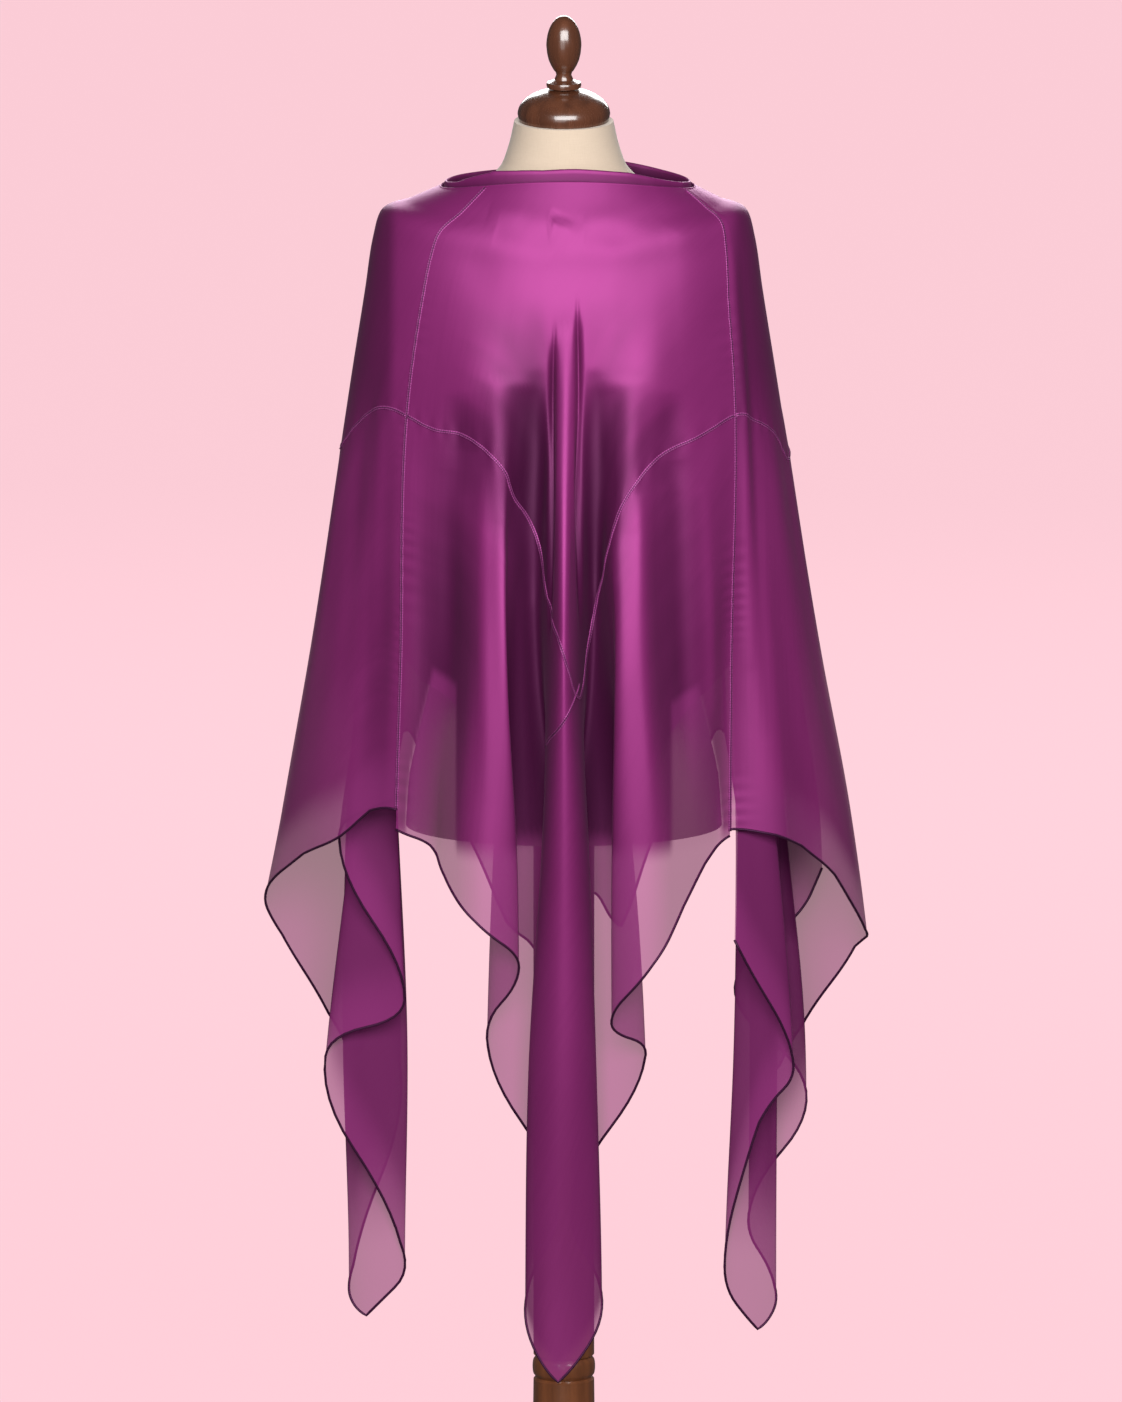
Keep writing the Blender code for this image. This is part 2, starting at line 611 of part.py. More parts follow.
def build_form(collection):
    """Limbless dress form, a loft through its sections."""
    bm = bmesh.new()
    rings = []
    for height, half_width, front, back in FORM_SECTIONS:
        ring = []
        for side in range(FORM_SIDES):
            angle = 2 * math.pi * side / FORM_SIDES
            depth = back if math.sin(angle) > 0 else front
            x = half_width * math.cos(angle) * MM
            y = depth * math.sin(angle) * MM
            ring.append(bm.verts.new((x, y, height * MM)))
        rings.append(ring)
    for lower, upper in zip(rings, rings[1:]):
        for i in range(FORM_SIDES):
            j = (i + 1) % FORM_SIDES
            bm.faces.new((lower[i], lower[j], upper[j], upper[i]))
    bm.faces.new(reversed(rings[0]))
    bm.faces.new(rings[-1])
    mesh = bpy.data.meshes.new("form_torso")
    bm.to_mesh(mesh)
    bm.free()
    make_object("form_torso", mesh, "linen", collection)


def main():
    """Build the wrap on its form and stand."""
    clear_scene()
    collection = bpy.data.collections.new("satin_wrap_on_form")
    bpy.context.scene.collection.children.link(collection)
    build_stand(collection)
    build_form(collection)
    cloth = Cloth()
    build_yokes(cloth, collection)
    build_skirts(cloth, collection)
    build_tails(cloth, collection)
    build_lining(cloth, collection)
    build_neck_fold(cloth, collection)


main()
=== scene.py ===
import math

import bmesh
import bpy
import numpy as np
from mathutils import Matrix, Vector


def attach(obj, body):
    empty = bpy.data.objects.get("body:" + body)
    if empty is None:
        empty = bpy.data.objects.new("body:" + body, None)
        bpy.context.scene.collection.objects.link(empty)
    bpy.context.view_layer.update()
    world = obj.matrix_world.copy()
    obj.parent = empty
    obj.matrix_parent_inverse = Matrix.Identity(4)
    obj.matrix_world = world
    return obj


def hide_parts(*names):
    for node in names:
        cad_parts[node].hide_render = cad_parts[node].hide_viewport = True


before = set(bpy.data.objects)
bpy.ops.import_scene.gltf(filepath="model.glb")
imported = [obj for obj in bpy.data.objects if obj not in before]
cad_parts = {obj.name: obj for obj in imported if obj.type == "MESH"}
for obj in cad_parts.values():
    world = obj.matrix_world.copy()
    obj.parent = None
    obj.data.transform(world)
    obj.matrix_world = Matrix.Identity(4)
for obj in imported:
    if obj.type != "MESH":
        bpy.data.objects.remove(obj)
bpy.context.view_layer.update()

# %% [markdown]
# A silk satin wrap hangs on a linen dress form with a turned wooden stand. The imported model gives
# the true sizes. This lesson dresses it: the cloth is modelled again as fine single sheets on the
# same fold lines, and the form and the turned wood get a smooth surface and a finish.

MM = 0.001

# %% [markdown]
# The photograph was taken from far away with a long lens, a little above the wrap. A long lens
# keeps upright edges parallel. The frame is taller than wide, so the lens is set from its height.

# %% Camera
PHOTO_WIDTH, PHOTO_HEIGHT = 1122, 1402
METRES_PER_PIXEL = 0.00105
CAMERA_DISTANCE = 40.0
CAMERA_ELEVATION = math.radians(12)
CAMERA_TARGET = Vector((-0.003, 0.0, 0.927))
SENSOR = 36.0

camera_data = bpy.data.cameras.new("camera")
camera_data.lens = SENSOR * CAMERA_DISTANCE / (PHOTO_HEIGHT * METRES_PER_PIXEL)
camera_data.sensor_width = SENSOR
camera_data.clip_end = 200
camera = bpy.data.objects.new("camera", camera_data)
bpy.context.scene.collection.objects.link(camera)
towards_camera = Vector((0.0, -math.cos(CAMERA_ELEVATION), math.sin(CAMERA_ELEVATION)))
camera.location = CAMERA_TARGET + towards_camera * CAMERA_DISTANCE
camera.rotation_euler = (-towards_camera).to_track_quat("-Z", "Y").to_euler()
bpy.context.scene.camera = camera
print("lens in mm:", round(camera_data.lens, 1))

# %% [markdown]
# Shader networks are easier to read as sums. The class below wraps one output socket, so that a
# plus sign or a product adds the matching Math node. Every other node comes from one method.

# %% Shader helper
class Signal:
    """One output socket, with arithmetic that adds Math nodes."""

    def __init__(self, tree, socket):
        self.tree = tree
        self.socket = socket

    def _math(self, operation, first, second):
        node = self.tree.nodes.new("ShaderNodeMath")
        node.operation = operation
        for slot, value in zip(node.inputs, (first, second)):
            if isinstance(value, Signal):
                self.tree.links.new(value.socket, slot)
            else:
                slot.default_value = value
        return Signal(self.tree, node.outputs[0])

    def __add__(self, other):
        return self._math("ADD", self, other)

    def __radd__(self, other):
        return self._math("ADD", other, self)

    def __sub__(self, other):
        return self._math("SUBTRACT", self, other)

    def __rsub__(self, other):
        return self._math("SUBTRACT", other, self)

    def __mul__(self, other):
        return self._math("MULTIPLY", self, other)

    def __rmul__(self, other):
        return self._math("MULTIPLY", other, self)

    def __truediv__(self, other):
        return self._math("DIVIDE", self, other)

    def __mod__(self, other):
        return self._math("FLOORED_MODULO", self, other)

    def __lt__(self, other):
        return self._math("LESS_THAN", self, other)


class Finish:
    """A named material around one Principled shader."""

    def __init__(self, name, **constants):
        self.material = bpy.data.materials.new(name)
        self.material.use_nodes = True
        self.tree = self.material.node_tree
        self.shader = self.tree.nodes["Principled BSDF"]
        for key, value in constants.items():
            self.shader.inputs[key.replace("_", " ")].default_value = value

    def node(self, kind, settings=None, output=0, **inputs):
        """Add a node, set it up, feed its sockets and return one output."""
        made = self.tree.nodes.new("ShaderNode" + kind)
        for key, value in (settings or {}).items():
            setattr(made, key, value)
        for key, value in inputs.items():
            socket = made.inputs[key.replace("_", " ")]
            if isinstance(value, Signal):
                self.tree.links.new(value.socket, socket)
            else:
                socket.default_value = value
        return Signal(self.tree, made.outputs[output])

    def feed(self, name, signal):
        """Link a varying signal to the shader."""
        self.tree.links.new(signal.socket, self.shader.inputs[name])

    def place(self, source, stretch):
        """Object or UV coordinates, stretched along each axis."""
        where = self.node("TexCoord", output=source)
        return self.node("Mapping", Vector=where, Scale=stretch)

    def noise(self, where, scale, detail=2.0, roughness=0.5):
        """A noise value over a place."""
        return self.node("TexNoise", Vector=where, Scale=scale, Detail=detail, Roughness=roughness)

    def blend(self, factor, first, second):
        """A colour between two colours."""
        made = self.tree.nodes.new("ShaderNodeMix")
        made.data_type = "RGBA"
        self.tree.links.new(factor.socket, made.inputs["Factor"])
        for socket, value in zip((made.inputs[6], made.inputs[7]), (first, second)):
            if isinstance(value, Signal):
                self.tree.links.new(value.socket, socket)
            else:
                socket.default_value = (*value, 1.0)
        return Signal(self.tree, made.outputs[2])

    def bump(self, height, distance, strength=1.0):
        """Feed a height in metres to the normal."""
        self.feed("Normal", self.node("Bump", Height=height, Distance=distance, Strength=strength))


OBJECT_PLACE, UV_PLACE = "Object", "UV"
print("shader helper ready")

# %% [markdown]
# Satin has long floats of warp thread on its face. They give a broad, coloured highlight, so part
# of the shine is metallic in colour, and the shine runs in faint streaks along the warp. Where the
# cloth hangs alone it is slightly see-through, which is plain alpha. The weave follows the UV map,
# whose units are metres of cloth. A value named fold darkens the colour as painted shade, deep in
# the folds, on the sides of the yoke and on the tails.

# %% Satin
PLUM = (0.158, 0.013, 0.097)
PLUM_LIGHT = (0.222, 0.021, 0.140)
PLUM_SHEER = (0.265, 0.030, 0.172)
PLUM_PAINTED_SHADOW = (0.020, 0.003, 0.016)
PLUM_PAINTED_SHADE = (0.026, 0.0014, 0.017)
PLUM_TINT = (0.90, 0.48, 0.78, 1.0)
SATIN_SHINE = {"Metallic": 0.32, "Specular_IOR_Level": 0.40, "Specular_Tint": PLUM_TINT, "Sheen_Weight": 0.05,
               "Sheen_Roughness": 0.5, "Sheen_Tint": PLUM_TINT}
SHEER_ALPHA = 0.70


def satin(name, sheer=False):
    """Satin with warp streaks, a fine weave and painted shade from its fold value, solid or as sheer as its
    cover attribute says.
    """
    finish = Finish(name, **SATIN_SHINE)
    slubs = finish.noise(finish.place(UV_PLACE, (260.0, 9.0, 1.0)), 1.0, 3.0)
    clouds = finish.noise(finish.place(UV_PLACE, (7.0, 5.0, 1.0)), 1.0, 2.0)
    weave = finish.noise(finish.place(UV_PLACE, (2400.0, 700.0, 1.0)), 1.0, 1.0)
    # Painted shade: the fold value darkens the satin deep between folds, on the sides of the yoke, on the
    # tails and inside the neckline's fold
    depth = finish.node("Attribute", {"attribute_name": "fold"}, output="Fac")
    colour = finish.blend(slubs * 0.35 + clouds * 0.65, PLUM, PLUM_LIGHT)
    colour = finish.blend(depth * 0.92, colour, PLUM_PAINTED_SHADE)
    if sheer:
        # The cover makes the sheer cloth denser and its colour fuller where more cloth lies behind, and over
        # the form as painted shade
        cover = finish.node("Attribute", {"attribute_name": "cover"}, output="Fac")
        finish.feed("Alpha", cover * (1.0 - SHEER_ALPHA) + SHEER_ALPHA)
        colour = finish.blend(cover, PLUM_SHEER, colour)
    finish.feed("Base Color", colour)
    finish.feed("Roughness", 0.40 + slubs * 0.06 + clouds * 0.08)
    finish.bump(slubs * 0.6 + weave * 0.4, 0.00012, 0.5)
    return finish.material


SATIN_SOLID = satin("satin_solid")
SATIN_SHEER = satin("satin_sheer", sheer=True)

STITCH_PITCH = 2.6 * MM
STITCH_LENGTH = 0.62
# The painted shadow in the groove beside a seam's ridge, as distances round the seam's section
GROOVE_SHADOW_START, GROOVE_SHADOW_END = 2.2 * MM, 3.9 * MM


def sewn_edge(name, dark, light):
    """Satin doubled over at a seam or hem, with a line of small stitches along it and a painted shadow in the
    groove beside its ridge.
    """
    finish = Finish(name, **SATIN_SHINE)
    where = finish.node("TexCoord", output=UV_PLACE)
    split = finish.tree.nodes.new("ShaderNodeSeparateXYZ")
    finish.tree.links.new(where.socket, split.inputs[0])
    along = Signal(finish.tree, split.outputs[0])
    across = Signal(finish.tree, split.outputs[1])
    stitch = (along / STITCH_PITCH % 1.0) < STITCH_LENGTH
    groove_shadow = (across < GROOVE_SHADOW_END) - (across < GROOVE_SHADOW_START)
    grain = finish.noise(finish.place(UV_PLACE, (900.0, 300.0, 1.0)), 1.0, 2.0)
    colour = finish.blend(grain * 0.6 + stitch * 0.35, dark, light)
    finish.feed("Base Color", finish.blend(groove_shadow * 0.75, colour, PLUM_PAINTED_SHADOW))
    finish.feed("Roughness", 0.42 + grain * 0.12)
    finish.bump(stitch * 0.7 + grain * 0.3, 0.00025, 0.7)
    return finish.material


# The seam's stitches are real, and its light colour is a painted highlight along its ridge. The hem's dark
# colours are painted shade in its roll.
SEAM_SATIN = sewn_edge("satin_seam", (0.085, 0.006, 0.055), (0.40, 0.075, 0.29))
HEM_SATIN = sewn_edge("satin_hem", PLUM_PAINTED_SHADOW, (0.050, 0.006, 0.040))
print("satin finishes:", [material.name for material in bpy.data.materials if "satin_" in material.name])

# %% [markdown]
# A draped wrap is hard to model face by face, but easy to describe by its folds. Each fold line
# below runs from the neckline to the hem, and the numbers say where it is at a few heights. A
# smooth surface through all the lines is the cloth. These are the model's own fold lines, so the
# fine sheets lie exactly on its solids.

# %% Sizes of the wrap
WALL = 1.0 * MM
SEAM_GAP = 0.6 * MM
NECK_SHIFT = 4 * MM
# level, half width, front depth, back depth, height at the sides, front and back, share of the neck angle
UPPER_RINGS = [
    (1530, 134, 72, 62, 1478, 1496, 1487, 1.00),
    (1485, 164, 87, 80, 1464, 1464, 1460, 0.75),
    (1440, 193, 101, 96, 1450, 1430, 1428, 0.45),
    (1415, 200, 106, 101, 1424, 1409, 1407, 0.33),
    (1370, 208, 117, 108, 1370, 1370, 1370, 0.15),
    (1300, 219, 129, 115, 1300, 1300, 1300, 0.00),
]
WAIST_LEVEL = 980 * MM
HIP_LEVEL = 810 * MM
LOW_LEVEL = 570 * MM
TAIL_LEVEL = 330 * MM
BELOW_TAIL = 180 * MM
NECK_ANGLES = [(-180, -180), (-133, -133), (-46.6, -39.4), (0, 0), (54, 66), (134, 134), (180, 180)]

# name, angle at the bust, x and y at the waist, hip, low and tail levels, yoke seam, hem, lining hem
FRONT_LINES = [
    ("left_seam", -46.6, -171, -115, -176, -120, -178, -120, -178, -120, 1252, 815, 1005),
    ("left_flat", -37.0, -138, -128, -140, -138, -140, -140, -140, -140, 1241, 802, 975),
    ("left_rise", -29.0, -112, -152, -124, -168, -124, -172, -124, -172, 1238, 776, 962),
    ("left_crest", -21.5, -88, -184, -92, -205, -92, -206, -92, -206, 1226, 735, 945),
    ("left_edge", -16.0, -59, -192, -49, -198, -47, -194, -47, -194, 1205, 684, 920),
    ("left_back", -12.0, -62, -166, -72, -162, -80, -160, -80, -160, 1178, 591, 890),
    ("left_valley", -7.5, -28, -138, -9, -140, -9, -140, -9, -140, 1140, 425, 860),
    ("tail_left", -3.8, -17, -170, -23, -170, -37, -168, -40, -162, 1063, 318, 840),
    ("tail_middle", 0.0, 0, -203, 1, -206, 0, -198, -6, -182, 1018, 235, 820),
    ("tail_right", 3.8, 17, -170, 26, -170, 34, -168, 40, -162, 968, 318, 820),
    ("right_valley", 7.5, 29, -138, 13, -140, 10, -140, 10, -140, 1050, 420, 834),
    ("right_back", 12.0, 50, -164, 70, -160, 85, -158, 85, -158, 1120, 577, 845),
    ("right_edge", 16.0, 54, -190, 50, -197, 50, -192, 50, -192, 1165, 622, 870),
    ("right_crest", 22.0, 84, -190, 92, -208, 92, -208, 92, -208, 1200, 689, 915),
    ("right_fall", 29.0, 112, -158, 124, -174, 124, -174, 124, -174, 1220, 745, 945),
    ("right_flat", 40.0, 150, -128, 148, -140, 148, -140, 148, -140, 1234, 783, 965),
]

# Side and back fold lines, in mm
# name, angle at the bust, x and y at the hip, low and tail levels, yoke seam, hem
RIGHT_LINES = [
    ("right_seam", 54.0, 174, -115, 174, -115, 174, -115, 1250, 814),
    ("front_strip", 61.0, 222, -106, 226, -106, 226, -106, 1244, 806),
    ("front_middle", 69.0, 248, -84, 254, -84, 254, -84, 1232, 790),
    ("front_wave", 78.0, 280, -52, 288, -52, 288, -52, 1212, 752),
    ("edge", 87.0, 300, -6, 326, -4, 326, -4, 1188, 683),
    ("back_wave", 97.0, 293, 38, 310, 38, 310, 38, 1200, 655),
    ("back_middle", 109.0, 256, 68, 250, 66, 250, 66, 1222, 562),
    ("back_point", 121.0, 216, 92, 214, 86, 214, 86, 1240, 520),
]
BACK_LINES = [
    ("right_back_seam", 134.0, 172, 112, 172, 112, 172, 112, 1250, 870),
    ("right_outer_crest", 143.0, 138, 152, 138, 152, 138, 152, 1248, 810),
    ("right_outer_valley", 152.0, 100, 132, 96, 132, 96, 132, 1246, 765),
    ("right_crest", 161.0, 62, 160, 60, 158, 60, 158, 1244, 650),
    ("right_valley", 171.0, 30, 136, 24, 134, 24, 134, 1242, 690),
    ("middle_crest", 180.0, 0, 166, 0, 160, 0, 158, 1240, 480),
    ("left_valley", -171.0, -30, 136, -24, 134, -24, 134, 1242, 620),
    ("left_crest", -161.0, -62, 160, -60, 158, -60, 158, 1244, 655),
    ("left_outer_valley", -152.0, -100, 132, -96, 132, -96, 132, 1246, 750),
    ("left_outer_crest", -143.0, -138, 152, -138, 152, -138, 152, 1248, 800),
]
LEFT_LINES = [
    ("left_back_seam", -133.0, -172, 112, -172, 112, -172, 112, 1250, 870),
    ("back_point", -121.0, -214, 90, -212, 84, -212, 84, 1240, 535),
    ("back_middle", -109.0, -254, 66, -248, 62, -248, 62, 1222, 578),
    ("back_wave", -97.0, -286, 38, -300, 38, -300, 38, 1206, 668),
    ("edge", -87.0, -295, -8, -338, -4, -338, -4, 1200, 730),
    ("front_wave", -77.0, -270, -58, -284, -58, -284, -58, 1222, 776),
    ("front_middle", -66.0, -236, -90, -240, -90, -240, -90, 1246, 800),
    ("front_hollow", -56.0, -204, -106, -206, -106, -206, -106, 1257, 832),
]
# Hems of the side panel at the left front seam and of the front panel at the right one
LEFT_SEAM_SIDE_HEM = 836 * MM
RIGHT_SEAM_FRONT_HEM = 807 * MM

print("fold lines:", len(FRONT_LINES) + len(RIGHT_LINES) + len(BACK_LINES) + len(LEFT_LINES))

# %% [markdown]
# Below each side panel hangs a long tail, folded back and forth. Its upper part is hidden, so its
# numbers start at the hip. Above that it leads up to the inner face of the side panel.

# %% Sizes of the side tails
# Tail panels: their front and top edges lie on the inner face of the side panels
TAIL_TOP = 1250 * MM
TAIL_BELOW_YOKE = 4 * MM
TAIL_BEHIND = WALL + 0.6 * MM
TAIL_SLACK = 6 * MM
# Levels from the top to the hip, over which a tail leaves the side panel for its own folds
TAIL_UPPER_LEVELS = 5

# Fold lines of the tails, from front to rear
# name, how many of the wrap's lines behind the front seam it hangs, then in mm
# x and y at the hip, low and tail levels, and the hem
LEFT_TAIL = [
    ("seam_edge", 0.15, -180, -112, -180, -112, -180, -112, 846),
    ("hidden_outer", 1.05, -234, -70, -234, -70, -234, -70, 792),
    ("front_inner", 1.4, -174, -57, -166, -56, -166, -56, 618),
    ("flap_outer", 1.75, -222, -41, -249, -40, -268, -40, 554),
    ("tail_inner", 2.1, -176, -25, -168, -24, -172, -22, 348),
    ("tail_tip", 2.5, -202, -14, -205, -12, -208, -12, 268),
    ("tail_outer", 3.0, -226, -2, -230, 0, -222, 2, 319),
    ("rear_inner", 3.5, -178, 16, -172, 16, -172, 16, 500),
    ("rear_edge", 4.0, -220, 32, -222, 32, -222, 32, 640),
]
RIGHT_TAIL = [
    ("seam_edge", 0.15, 180, -108, 177, -107, 177, -107, 694),
    ("flap_outer", 0.55, 222, -88, 240, -85, 240, -85, 561),
    ("flap_low", 0.9, 204, -76, 205, -74, 205, -74, 490),
    ("tail_inner", 1.3, 182, -64, 178, -63, 169, -62, 332),
    ("tail_tip", 1.7, 203, -52, 204, -51, 204, -50, 262),
    ("tail_outer", 2.1, 224, -40, 224, -39, 222, -38, 305),
    ("turn", 2.45, 194, -24, 197, -24, 196, -22, 388),
    ("rear_outer", 2.85, 232, -8, 253, -8, 254, -8, 509),
    ("rear_inner", 3.25, 184, 10, 180, 10, 180, 10, 610),
    ("rear_middle", 3.6, 238, 23, 238, 24, 238, 24, 686),
    ("rear_edge", 4.0, 268, 34, 268, 36, 268, 36, 740),
]
print("fold lines of the tails:", len(LEFT_TAIL), len(RIGHT_TAIL))

# %% Sizes of the bust and the inner layer
# Share of the way from the bust to the hip that a side or back fold has opened at the waist
WAIST_SHARE = 0.62

# Bust under the cloth: half spacing, height, rise, spread to the sides, and how much further it
# spreads in height. Its rise comes in over the frontmost part of the wrap.
BUST_X = 88 * MM
BUST_Z = 1290 * MM
BUST_RISE = 9 * MM
BUST_SPREAD = 42 * MM
BUST_TALLNESS = 1.3
BUST_FRONT = 80 * MM

# Inner layer of the front: its hem at the right seam in mm, its top edge, its distance behind the
# front at the seams, and how far it bows forward
LINING_RIGHT_HEM = 989
LINING_TOP = 1232 * MM
LINING_BACK = WALL + SEAM_GAP
LINING_BOW_TOP = 27 * MM
LINING_BOW_HEM = 14 * MM
print("inner layer's top edge in metres:", LINING_TOP)

# %% [markdown]
# The surface has two coordinates. One counts the fold lines round the loop, and between them a
# quadratic spline rounds the folds. The other is a height, and each line follows a smooth curve
# through its places at the levels. A seam or a hem is then a height for every line.

# %% Places on a fold line
def upper_station(ring, angle):
    """Point of one upper ring at a fold line's angle, with its level."""
    level, half_width, front, back, side_z, front_z, back_z, share = ring
    bust_angles = [pair[0] for pair in NECK_ANGLES]
    neck_angles = [pair[1] for pair in NECK_ANGLES]
    turned_angle = angle + share * (np.interp(angle, bust_angles, neck_angles) - angle)
    sine = math.sin(math.radians(turned_angle))
    cosine = math.cos(math.radians(turned_angle))
    depth = front if cosine > 0 else back
    end_z = front_z if cosine > 0 else back_z
    height = side_z + (end_z - side_z) * cosine * cosine
    shift = NECK_SHIFT * share**3
    return (half_width * sine * MM + shift, -depth * cosine * MM, height * MM)


def lower_stations(row, bust_point, has_waist):
    """Points of one fold line at the waist, hip, low and tail levels and below."""
    numbers = [value * MM for value in row[2:]]
    if has_waist:
        waist = (numbers[0], numbers[1])
        numbers = numbers[2:]
    else:
        waist = tuple(b + WAIST_SHARE * (h - b) for b, h in zip(bust_point[:2], numbers[:2]))
    hip, low, tail = (numbers[0:2], numbers[2:4], numbers[4:6])
    levels = (WAIST_LEVEL, HIP_LEVEL, LOW_LEVEL, TAIL_LEVEL, BELOW_TAIL)
    places = (waist, hip, low, tail, tail)
    return [(place[0], place[1], level) for place, level in zip(places, levels)]


print("rings from the neckline to the bust:", len(UPPER_RINGS))

# %% The cloth as a smooth surface
class FoldedSheet:
    """A smooth surface through fold lines, over a line position s and a level u."""

    def __init__(self, levels, points, closed):
        order = np.argsort(levels)
        self.levels = np.array(levels)[order]
        self.points = np.array(points)[:, order, :]
        self.count = len(points)
        self.closed = closed
        self.slopes = self.level_slopes()
        self.spline = self.spline_matrix()

    def level_slopes(self):
        """Slope of each line at each level, from the parabola through three levels."""
        steps = np.diff(self.levels)[None, :, None]
        secants = np.diff(self.points, axis=1) / steps
        slopes = np.empty_like(self.points)
        before, after = steps[:, :-1], steps[:, 1:]
        slopes[:, 1:-1] = (secants[:, :-1] * after + secants[:, 1:] * before) / (before + after)
        slopes[:, 0] = secants[:, 0]
        slopes[:, -1] = secants[:, -1]
        return slopes

    def spline_matrix(self):
        """Rows that turn points on a quadratic spline into its control points, with one more at each end."""
        count = self.count
        matrix = np.eye(count)
        inner = range(count) if self.closed else range(1, count - 1)
        for index in inner:
            matrix[index, index] = 0.75
            matrix[index, (index - 1) % count] += 0.125
            matrix[index, (index + 1) % count] += 0.125
        controls = np.linalg.inv(matrix)
        if self.closed:
            return np.vstack([controls[-1:], controls, controls[:2]])
        before = 2 * controls[:1] - controls[1:2]
        after = 2 * controls[-1:] - controls[-2:-1]
        return np.vstack([before, controls, after])

    def between(self, values, s):
        """A value of the fold lines, read in a straight line between two of them."""
        base = np.minimum(np.floor(s).astype(int), len(values) - 1 - (not self.closed))
        share = s - base
        following = (base + 1) % self.count
        return values[base % self.count] * (1 - share) + values[following] * share

    def spline_weights(self, s):
        """First of three control points at line positions s, and the weights of the three."""
        last = self.count if self.closed else self.count - 1
        nearest = np.clip(np.floor(s + 0.5).astype(int), 0, last)
        offset = s - nearest
        return nearest, ((0.5 - offset) ** 2 / 2, 0.75 - offset**2, (0.5 + offset) ** 2 / 2)

    def smooth(self, values, s):
        """A value of the fold lines, read on a smooth curve."""
        controls = self.spline @ values
        nearest, blend = self.spline_weights(s)
        return sum(weight * controls[nearest + shift] for shift, weight in enumerate(blend))

    def at(self, s, u):
        """Points of the surface at line positions s and levels u."""
        s = np.asarray(s, float)
        u = np.asarray(u, float)
        cell = np.clip(np.searchsorted(self.levels, u) - 1, 0, len(self.levels) - 2)
        low, high = self.levels[cell], self.levels[cell + 1]
        step = high - low
        t = np.clip((u - low) / step, 0.0, 1.0)[:, None]
        step = step[:, None]
        weights = (2 * t**3 - 3 * t**2 + 1, (t**3 - 2 * t**2 + t) * step,
                   3 * t**2 - 2 * t**3, (t**3 - t**2) * step)
        nearest, blend = self.spline_weights(s)
        mix = np.zeros((len(s), self.count))
        for shift, weight in enumerate(blend):
            mix += weight[:, None] * self.spline[nearest + shift]
        result = np.zeros((len(s), 3))
        for weight, table, place in zip(weights, (self.points, self.slopes) * 2,
                                        (cell, cell, cell + 1, cell + 1)):
            result += weight * np.einsum("nk,knc->nc", mix, table[:, place, :])
        return result


print("surface maker ready")

# %% [markdown]
# The wrap is one such surface, closed into a loop, and its front is pushed out over the bust. A tail
# is an open one. It starts on the inner face of the side panel and leaves it for its own folds.

# %% The whole wrap and its tails
class Cloth(FoldedSheet):
    """The whole wrap as one closed sheet, with its seam and hem heights."""

    def __init__(self):
        rows = [(row, True) for row in FRONT_LINES]
        rows += [(row, False) for row in RIGHT_LINES + BACK_LINES + LEFT_LINES]
        self.right_seam = len(FRONT_LINES)
        self.right_back_seam = self.right_seam + len(RIGHT_LINES)
        self.left_back_seam = self.right_back_seam + len(BACK_LINES)
        self.left_seam = len(rows)
        levels = [ring[0] * MM for ring in UPPER_RINGS]
        levels += [WAIST_LEVEL, HIP_LEVEL, LOW_LEVEL, TAIL_LEVEL, BELOW_TAIL]
        points = []
        for row, has_waist in rows:
            upper = [upper_station(ring, row[1]) for ring in UPPER_RINGS]
            points.append(upper + lower_stations(row, upper[-1], has_waist))
        super().__init__(levels, points, closed=True)
        # A row with a waist has two more numbers before its yoke seam and its hem
        self.yoke = np.array([row[10 if waist else 8] for row, waist in rows]) * MM
        self.hem = np.array([row[11 if waist else 9] for row, waist in rows]) * MM
        self.lining = np.array([row[12] for row in FRONT_LINES] + [LINING_RIGHT_HEM]) * MM

    def at(self, s, u):
        """Points of the wrap, its front pushed out over the two bust points."""
        points = super().at(s, u)
        x, y, z = points.T
        across = np.exp(-((np.abs(x) - BUST_X) / BUST_SPREAD) ** 2)
        down = np.exp(-((z - BUST_Z) / (BUST_TALLNESS * BUST_SPREAD)) ** 2)
        front = np.clip(-y / BUST_FRONT, 0.0, 1.0)
        points[:, 1] = y - BUST_RISE * across * down * front
        return points


def points_behind(cloth, s, u, distance):
    """Points of the wrap moved in from it, square to its surface."""
    step, drop = 0.05, 2 * MM
    ahead = cloth.at(s + step, u) - cloth.at(s - step, u)
    below = cloth.at(s, u - drop) - cloth.at(s, u + drop)
    inward = np.cross(ahead, below)
    inward /= np.linalg.norm(inward, axis=1)[:, None]
    return cloth.at(s, u) + inward * distance


def tail_sheet(cloth, table, seam, rearward):
    """Sheet and hem heights of one tail panel, which starts at a front seam of the wrap."""
    upper = np.linspace(TAIL_TOP, HIP_LEVEL, TAIL_UPPER_LEVELS)
    levels = list(upper) + [LOW_LEVEL, TAIL_LEVEL, BELOW_TAIL]
    places = seam + rearward * np.array([row[1] for row in table])
    hips = np.array([row[2:4] for row in table]) * MM
    hip_wall = points_behind(cloth, places, np.full(len(table), HIP_LEVEL), TAIL_BEHIND)
    points = []
    for level, share in zip(upper, np.linspace(0.0, 1.0, TAIL_UPPER_LEVELS)):
        distance = TAIL_BEHIND + TAIL_SLACK * 4 * share * (1 - share)
        layer = points_behind(cloth, places, np.full(len(table), level), distance)
        layer[:, :2] += (hips - hip_wall[:, :2]) * share
        layer[:, 2] = level
        points.append(layer)
    for column, level in zip((4, 6, 6), levels[TAIL_UPPER_LEVELS:]):
        points.append(np.array([(row[column] * MM, row[column + 1] * MM, level) for row in table]))
    points = np.swapaxes(np.array(points), 0, 1)
    return FoldedSheet(levels, points, closed=False), np.array([row[-1] for row in table]) * MM


cloth = Cloth()
print("lines round the wrap:", cloth.count)
